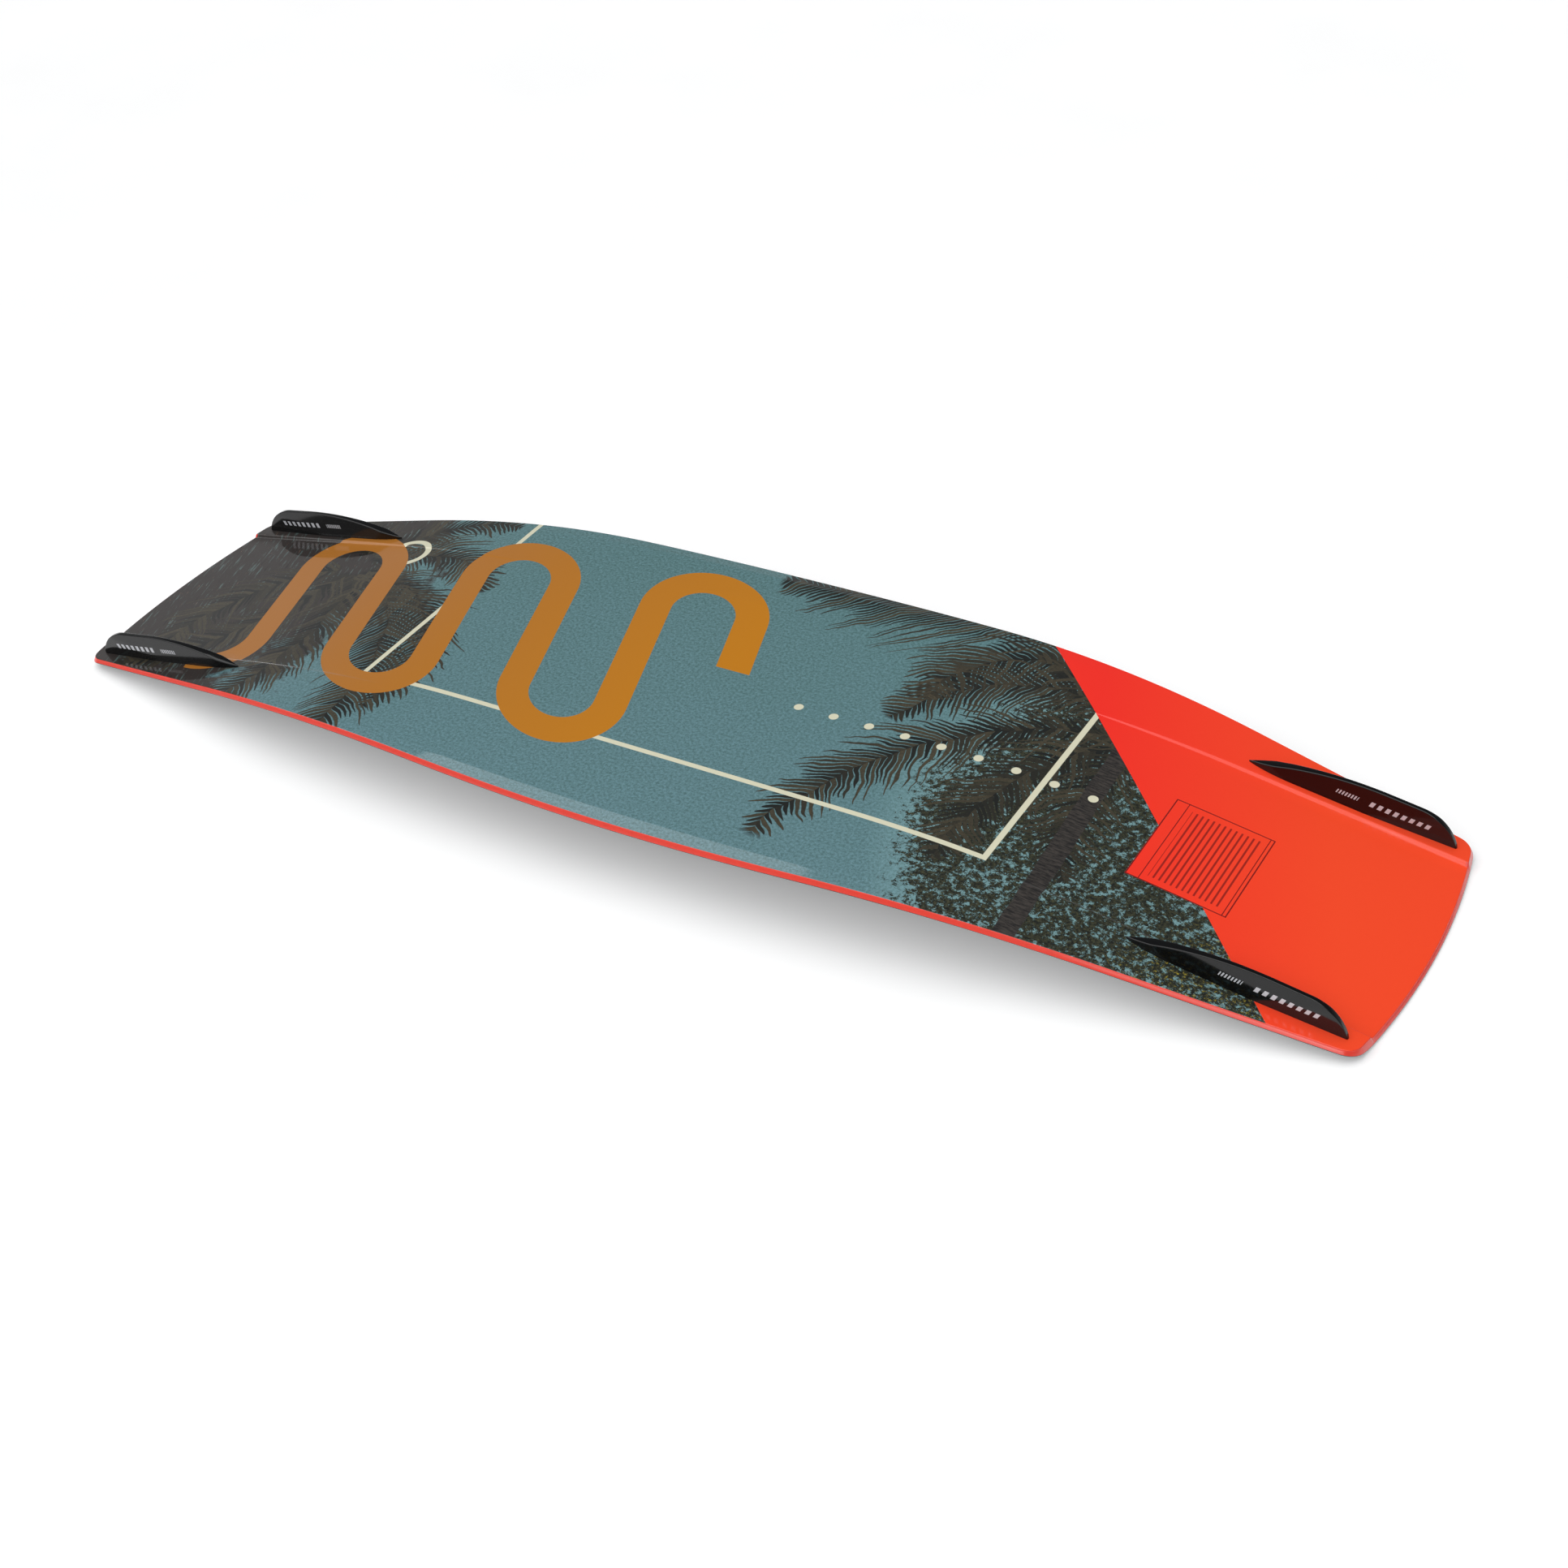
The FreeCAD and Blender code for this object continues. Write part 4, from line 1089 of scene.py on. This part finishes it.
def fin_rise(run):
    """Height: a straight rise, an arc level at its top, a level crest, and an arc down."""
    g = fin_form()
    climb = g.height - g.ramp_height
    crest_radius = ((g.crest_start - g.ramp_length) ** 2 + climb ** 2) / (2 * climb)
    end_radius = ((g.length - g.crest_end) ** 2 + g.height ** 2) / (2 * g.height)
    straight = g.nose + (g.ramp_height - g.nose) * run / g.ramp_length
    before = np.maximum(0.0, g.crest_start - run)
    after = np.maximum(0.0, run - g.crest_end)
    arcs = g.height - crest_radius + np.sqrt(np.maximum(0.0, crest_radius ** 2 - before ** 2))
    arcs -= end_radius - np.sqrt(np.maximum(0.0, end_radius ** 2 - after ** 2))
    return np.where(run < g.ramp_length, straight, arcs)


def fin_solid():
    """A fin in its own frame: drafted flanks, a rounded crest and a flat foot.

    Each cross-section climbs the flank, turns a quarter circle on to the crest and crosses
    to the middle; the other half mirrors it.
    """
    g = fin_form()
    wide, narrow = g.width / 2, g.end_width / 2
    turn = np.linspace(0.0, np.pi / 2, 9)
    runs = np.concatenate([
        wide * (1 - np.cos(turn)),
        np.linspace(wide, g.length - narrow, 90)[1:-1],
        g.length - narrow * (1 - np.sin(turn)),
    ])
    rise = fin_rise(runs)
    plan = fin_plan(runs)
    draft = (wide - g.crest / 2) / g.height
    radius = np.minimum(g.crest_round, np.minimum(rise / 2, plan))
    sink = 0.05 * MM
    across, heights = [0 * runs], [0 * runs - sink]
    for share in np.linspace(0.0, 1.0, 8):
        height = (rise - radius) * share
        across.append(np.minimum(plan, wide - draft * height))
        heights.append(height - (sink if share == 0.0 else 0.0))
    shoulder = across[-1]
    for angle in np.linspace(0.0, np.pi / 2, 6)[1:]:
        across.append(shoulder - radius * (1 - math.cos(angle)))
        heights.append(rise - radius + radius * math.sin(angle))
    across.append(0 * runs)
    heights.append(rise)
    half = np.stack([np.repeat(runs[:, None], len(across), axis=1),
                     np.stack(across, axis=1), np.stack(heights, axis=1)], axis=-1)
    other = half[:, -2:0:-1] * np.array([1.0, -1.0, 1.0])
    rings = np.concatenate([half, other], axis=1)
    return rings.reshape(-1, 3), grid_faces(rings.shape[0], rings.shape[1], closed=True)


def make_fins():
    """The same fin at its four places."""
    points, faces = fin_solid()
    material = fin_material()
    for node, place in fin_places().items():
        placed, numbered = repeated(points, faces, [place])
        mesh = closed_mesh(node, placed, numbered)
        new_piece(f"{node}_skin", mesh, material, [node], 45.0)


def screw_places():
    """Frames of the fin screws, on the base, with Z along the screw towards the fin."""
    g = fin_form()
    return [place @ Matrix.Translation((g.length / 2 + step * g.hole_step, 0.0, 0.0))
            for place in fin_places().values() for step in (-0.5, 0.5)]


def insert_places():
    """Frames of the binding inserts, at their mouths, with Z into the board.

    Each row's inserts are evenly spaced between the ends of its strip.
    """
    g = form()
    places = []
    for end in ("front", "back"):
        for side in ("heel", "toe"):
            low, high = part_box(f"insert_strip_{end}_{side}")
            first, last = low.x + g.strip_margin, high.x - g.strip_margin
            middle = (low.y + high.y) / 2
            for x in np.linspace(first, last, 6):
                places.append(Matrix.Translation((x, middle, base_level() - g.deck_thickness)))
    return places


BRASS_TINTS = (linear(150, 118, 58), linear(206, 172, 96))
INSERT_CORNER = 5.0 * MM        # middle to corner of an insert's hexagon
INSERT_FLANGE = 7.5 * MM        # middle to corner of its flange
INSERT_DEPTH = 8.0 * MM


def make_deck():
    """The top sheet, with its insert holes and washer seats cut through it."""
    g, fin = form(), fin_form()
    inset = g.edge_round - g.edge_slant
    x, y = board_grid(DECK_SPANS, inset, deck_corners, DECK_ROUNDS)
    points, faces = sheet_solid(x, y, deck_surface, -1, g.sheet_thickness)
    reach = 3 * g.sheet_thickness
    hole = turned([(0.0, -reach, 0), (INSERT_CORNER, -reach, 6), (INSERT_CORNER, reach, 6),
                   (0.0, reach, 0)])
    seat_radius = fin.washer_diameter / 2 + fin.clearance
    low, high = -g.deck_thickness - reach, -fin.clamp_thickness
    seat = turned([(0.0, low, 0), (seat_radius, low, 0), (seat_radius, high, 0),
                   (0.0, high, 0)], 48)
    holes, hole_faces = repeated(*hole, insert_places())
    seats, seat_faces = repeated(*seat, screw_places())
    cutter = np.concatenate([holes, seats])
    cutter_faces = np.concatenate([hole_faces, seat_faces + len(holes)])
    mesh = with_holes(closed_mesh("deck_skin", points, faces), cutter, cutter_faces)
    new_piece("deck_skin", mesh, deck_material(), ["top_sheet"], 35.0)


def make_fin_fastenings():
    """Fin screws with hexagon sockets, and the washers under their heads."""
    g = fin_form()
    face = -g.clamp_thickness - g.washer_thickness
    top = face - g.head_height
    head, shank = g.screw_head / 2, g.screw_diameter / 2
    socket, socket_floor, rim = 2.3 * MM, top + 1.9 * MM, 0.7 * MM
    screw = turned([
        (0.0, socket_floor, 0), (socket, socket_floor, 6), (socket, top, 6),
        (head - rim, top, 0), (head - 0.3 * rim, top + 0.3 * rim, 0), (head, top + rim, 0),
        (head, face, 0), (shank, face, 0), (shank, g.screw_reach, 0), (0.0, g.screw_reach, 0)])
    bore, lip = shank + g.clearance, 0.5 * MM
    washer = turned([
        (bore, face, 0), (0.8 * g.washer_diameter / 2, face, 0),
        (g.washer_diameter / 2, face + lip, 0), (g.washer_diameter / 2, -g.clamp_thickness, 0),
        (bore, -g.clamp_thickness, 0), (bore, face, 0)], 48)
    steel = metal("stainless", linear(150, 152, 155), linear(205, 206, 208), 0.28)
    for name, shape in (("fin_screws", screw), ("fin_washers", washer)):
        points, faces = repeated(*shape, screw_places())
        new_piece(f"{name}_detail", closed_mesh(name, points, faces), steel, [name])


def make_binding_inserts():
    """Hexagonal inserts: a chamfered mouth, thread ridges in the bore and a flange below."""
    minor, major, pitch, depth = 2.5 * MM, 2.9 * MM, 1.0 * MM, 7.0 * MM
    rows = [(0.0, depth, 0)]
    for turn in range(6):
        rows += [(minor, depth - turn * pitch, 0), (major, depth - (turn + 0.5) * pitch, 0)]
    flange_face = INSERT_DEPTH - 1.5 * MM
    rows += [
        (minor, 0.6 * MM, 0), (3.1 * MM, 0.0, 0), (INSERT_CORNER, 0.0, 6),
        (INSERT_CORNER, flange_face, 6), (INSERT_FLANGE, flange_face, 6),
        (INSERT_FLANGE, INSERT_DEPTH, 6), (0.0, INSERT_DEPTH, 0)]
    points, faces = repeated(*turned(rows), insert_places())
    brass = metal("brass", *BRASS_TINTS, 0.3)
    mesh = closed_mesh("binding_inserts", points, faces)
    new_piece("binding_inserts_detail", mesh, brass, ["binding_inserts"], 30.0)


def make_fastenings():
    make_fin_fastenings()
    make_binding_inserts()


def dress(names, material):
    """Gives CAD nodes a material."""
    for name in names:
        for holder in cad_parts[name].material_slots:
            holder.material = material


def make_inner():
    """Materials of what the sheets hide: core, glass, plugs, strips and fin inserts."""
    foam = speckled("core_foam", linear(206, 188, 138), linear(232, 218, 176), 1400.0, 0.0003,
                    roughness=0.9)
    glass = speckled("glass_laminate", linear(150, 158, 140), linear(196, 202, 186), 700.0,
                     0.0001, roughness=0.3)
    plug = speckled("plug_plastic", linear(40, 40, 42), linear(62, 62, 64), 500.0, 0.0001,
                    roughness=0.5)
    wood = speckled("strip_wood", linear(128, 92, 58), linear(176, 138, 94), 240.0, 0.0002,
                    roughness=0.7)
    brass = metal("fin_insert_brass", *BRASS_TINTS, 0.3)
    dress(["core"], foam)
    dress(["bottom_laminate", "top_laminate"], glass)
    dress(["fin_plugs"], plug)
    dress([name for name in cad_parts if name.startswith("insert_strip")], wood)
    dress(["fin_inserts"], brass)


# ---- Stage ----

def make_camera():
    """The camera, by its distance and angles about a point near the middle of the base."""
    target = Vector((147.3 * MM, -90.2 * MM, base_level()))
    azimuth, elevation, roll = np.radians((33.92, 36.94, -5.67))
    distance = 2.1093
    back = Vector((math.sin(azimuth) * math.cos(elevation),
                   -math.cos(azimuth) * math.cos(elevation), math.sin(elevation)))
    data = bpy.data.cameras.new("camera")
    data.sensor_width = 36.0
    data.lens = 55.03
    data.shift_x, data.shift_y = -0.00994, -0.00078
    camera = bpy.data.objects.new("camera", data)
    camera.location = target + back * distance
    aim = (-back).to_track_quat("-Z", "Y")
    camera.rotation_euler = (aim.to_matrix() @ Matrix.Rotation(roll, 3, "Z")).to_euler()
    bpy.context.scene.collection.objects.link(camera)
    bpy.context.scene.camera = camera


def make_light(name, place, aim, width, depth, power):
    data = bpy.data.lights.new(name, "AREA")
    data.shape = "RECTANGLE"
    data.size, data.size_y = width, depth
    data.energy = power
    light = bpy.data.objects.new(name, data)
    light.location = place
    light.rotation_euler = (Vector(aim) - Vector(place)).to_track_quat("-Z", "Y").to_euler()
    bpy.context.scene.collection.objects.link(light)


def make_sun(power, width):
    """Broad, even light from overhead, a little from the left and the front."""
    data = bpy.data.lights.new("overhead", "SUN")
    data.energy = power
    data.angle = math.radians(width)
    light = bpy.data.objects.new("overhead", data)
    light.rotation_euler = Vector((0.25, 0.2, -1.0)).to_track_quat("-Z", "Y").to_euler()
    bpy.context.scene.collection.objects.link(light)


def make_world():
    """A pale horizon and a darker sky above it, by the height of the direction."""
    world = bpy.data.worlds.new("studio")
    bpy.context.scene.world = world
    world.use_nodes = True
    tree = world.node_tree
    source = tree.nodes.new("ShaderNodeTexCoord")
    split = tree.nodes.new("ShaderNodeSeparateXYZ")
    tree.links.new(source.outputs["Generated"], split.inputs[0])
    height = Field(tree, split.outputs[2])
    tint = mix(tree, height.below(0.28, 0.4), (0.11, 0.115, 0.12), (0.40, 0.40, 0.40))
    feed(tree, tint, tree.nodes["Background"].inputs["Color"])


def make_stage():
    """A pale floor just under the board, the lights, the surroundings and the camera."""
    size = 12.0
    low = CAD_BOX[0].z - 0.2 * MM
    corners = [(-size, -size, low), (size, -size, low), (size, size, low), (-size, size, low)]
    mesh = bpy.data.meshes.new("floor")
    mesh.from_pydata(corners, [], [(0, 1, 2, 3)])
    floor = bpy.data.objects.new("floor", mesh)
    bpy.context.scene.collection.objects.link(floor)
    mesh.materials.append(speckled(
        "pale_floor", (0.84, 0.84, 0.84), (0.88, 0.88, 0.88), 3.0, roughness=0.9,
        specular_ior_level=0.1, emission_color=(1.0, 1.0, 1.0, 1.0), emission_strength=0.22))
    make_sun(2.5, 90.0)
    make_light("front", (1.4, -2.4, 1.7), (0.2, 0.0, 0.0), 1.8, 1.4, 14.0)
    make_world()
    make_camera()
    bpy.context.scene.view_settings.view_transform = "Standard"


# ---- Add-on ----

class WAKEBOARD_OT_base(bpy.types.Operator):
    """Makes the base sheet with its channel, creases, rail bevels and print."""

    bl_idname = "wakeboard.base"
    bl_label = "Printed Base"
    bl_options = {"REGISTER", "UNDO"}

    def execute(self, context):
        make_base()
        return {"FINISHED"}


class WAKEBOARD_OT_edge(bpy.types.Operator):
    """Makes the rails and the tip spacers in one finish."""

    bl_idname = "wakeboard.edge"
    bl_label = "Edge"
    bl_options = {"REGISTER", "UNDO"}

    def execute(self, context):
        make_edge()
        return {"FINISHED"}


class WAKEBOARD_OT_fins(bpy.types.Operator):
    """Makes the four ramp fins with rounded crests."""

    bl_idname = "wakeboard.fins"
    bl_label = "Fins"
    bl_options = {"REGISTER", "UNDO"}

    def execute(self, context):
        make_fins()
        return {"FINISHED"}


class WAKEBOARD_OT_deck(bpy.types.Operator):
    """Makes the top sheet with its insert holes and washer seats."""

    bl_idname = "wakeboard.deck"
    bl_label = "Deck"
    bl_options = {"REGISTER", "UNDO"}

    def execute(self, context):
        make_deck()
        return {"FINISHED"}


class WAKEBOARD_OT_fastenings(bpy.types.Operator):
    """Makes the fin screws, their washers and the binding inserts."""

    bl_idname = "wakeboard.fastenings"
    bl_label = "Fastenings"
    bl_options = {"REGISTER", "UNDO"}

    def execute(self, context):
        make_fastenings()
        return {"FINISHED"}


class WAKEBOARD_OT_inner(bpy.types.Operator):
    """Gives the parts that the sheets hide their finishes."""

    bl_idname = "wakeboard.inner"
    bl_label = "Inner Parts"
    bl_options = {"REGISTER", "UNDO"}

    def execute(self, context):
        make_inner()
        return {"FINISHED"}


class WAKEBOARD_OT_stage(bpy.types.Operator):
    """Makes the floor, the lights, the surroundings and the camera."""

    bl_idname = "wakeboard.stage"
    bl_label = "Stage"
    bl_options = {"REGISTER", "UNDO"}

    def execute(self, context):
        make_stage()
        return {"FINISHED"}


OPERATORS = (
    WAKEBOARD_OT_base, WAKEBOARD_OT_edge, WAKEBOARD_OT_fins, WAKEBOARD_OT_deck,
    WAKEBOARD_OT_fastenings, WAKEBOARD_OT_inner, WAKEBOARD_OT_stage,
)


class WAKEBOARD_PT_panel(bpy.types.Panel):
    """Lists the pieces and what can be changed."""

    bl_label = "Wakeboard"
    bl_idname = "WAKEBOARD_PT_panel"
    bl_space_type = "VIEW_3D"
    bl_region_type = "UI"
    bl_category = "Wakeboard"

    def draw(self, context):
        for operator in OPERATORS:
            self.layout.operator(operator.bl_idname)
        for group in (form(), fin_form(), finish()):
            box = self.layout.box()
            for name in group.__annotations__:
                box.prop(group, name)


CLASSES = (BoardForm, FinForm, Finish, *OPERATORS, WAKEBOARD_PT_panel)


def register():
    for item in CLASSES:
        bpy.utils.register_class(item)
    bpy.types.Scene.board_form = bpy.props.PointerProperty(type=BoardForm)
    bpy.types.Scene.fin_form = bpy.props.PointerProperty(type=FinForm)
    bpy.types.Scene.board_finish = bpy.props.PointerProperty(type=Finish)


def unregister():
    del bpy.types.Scene.board_form
    del bpy.types.Scene.fin_form
    del bpy.types.Scene.board_finish
    for item in reversed(CLASSES):
        bpy.utils.unregister_class(item)


def main():
    register()
    bpy.ops.wakeboard.base()
    bpy.ops.wakeboard.edge()
    bpy.ops.wakeboard.fins()
    bpy.ops.wakeboard.deck()
    bpy.ops.wakeboard.fastenings()
    bpy.ops.wakeboard.inner()
    bpy.ops.wakeboard.stage()


if __name__ == "__main__":
    main()
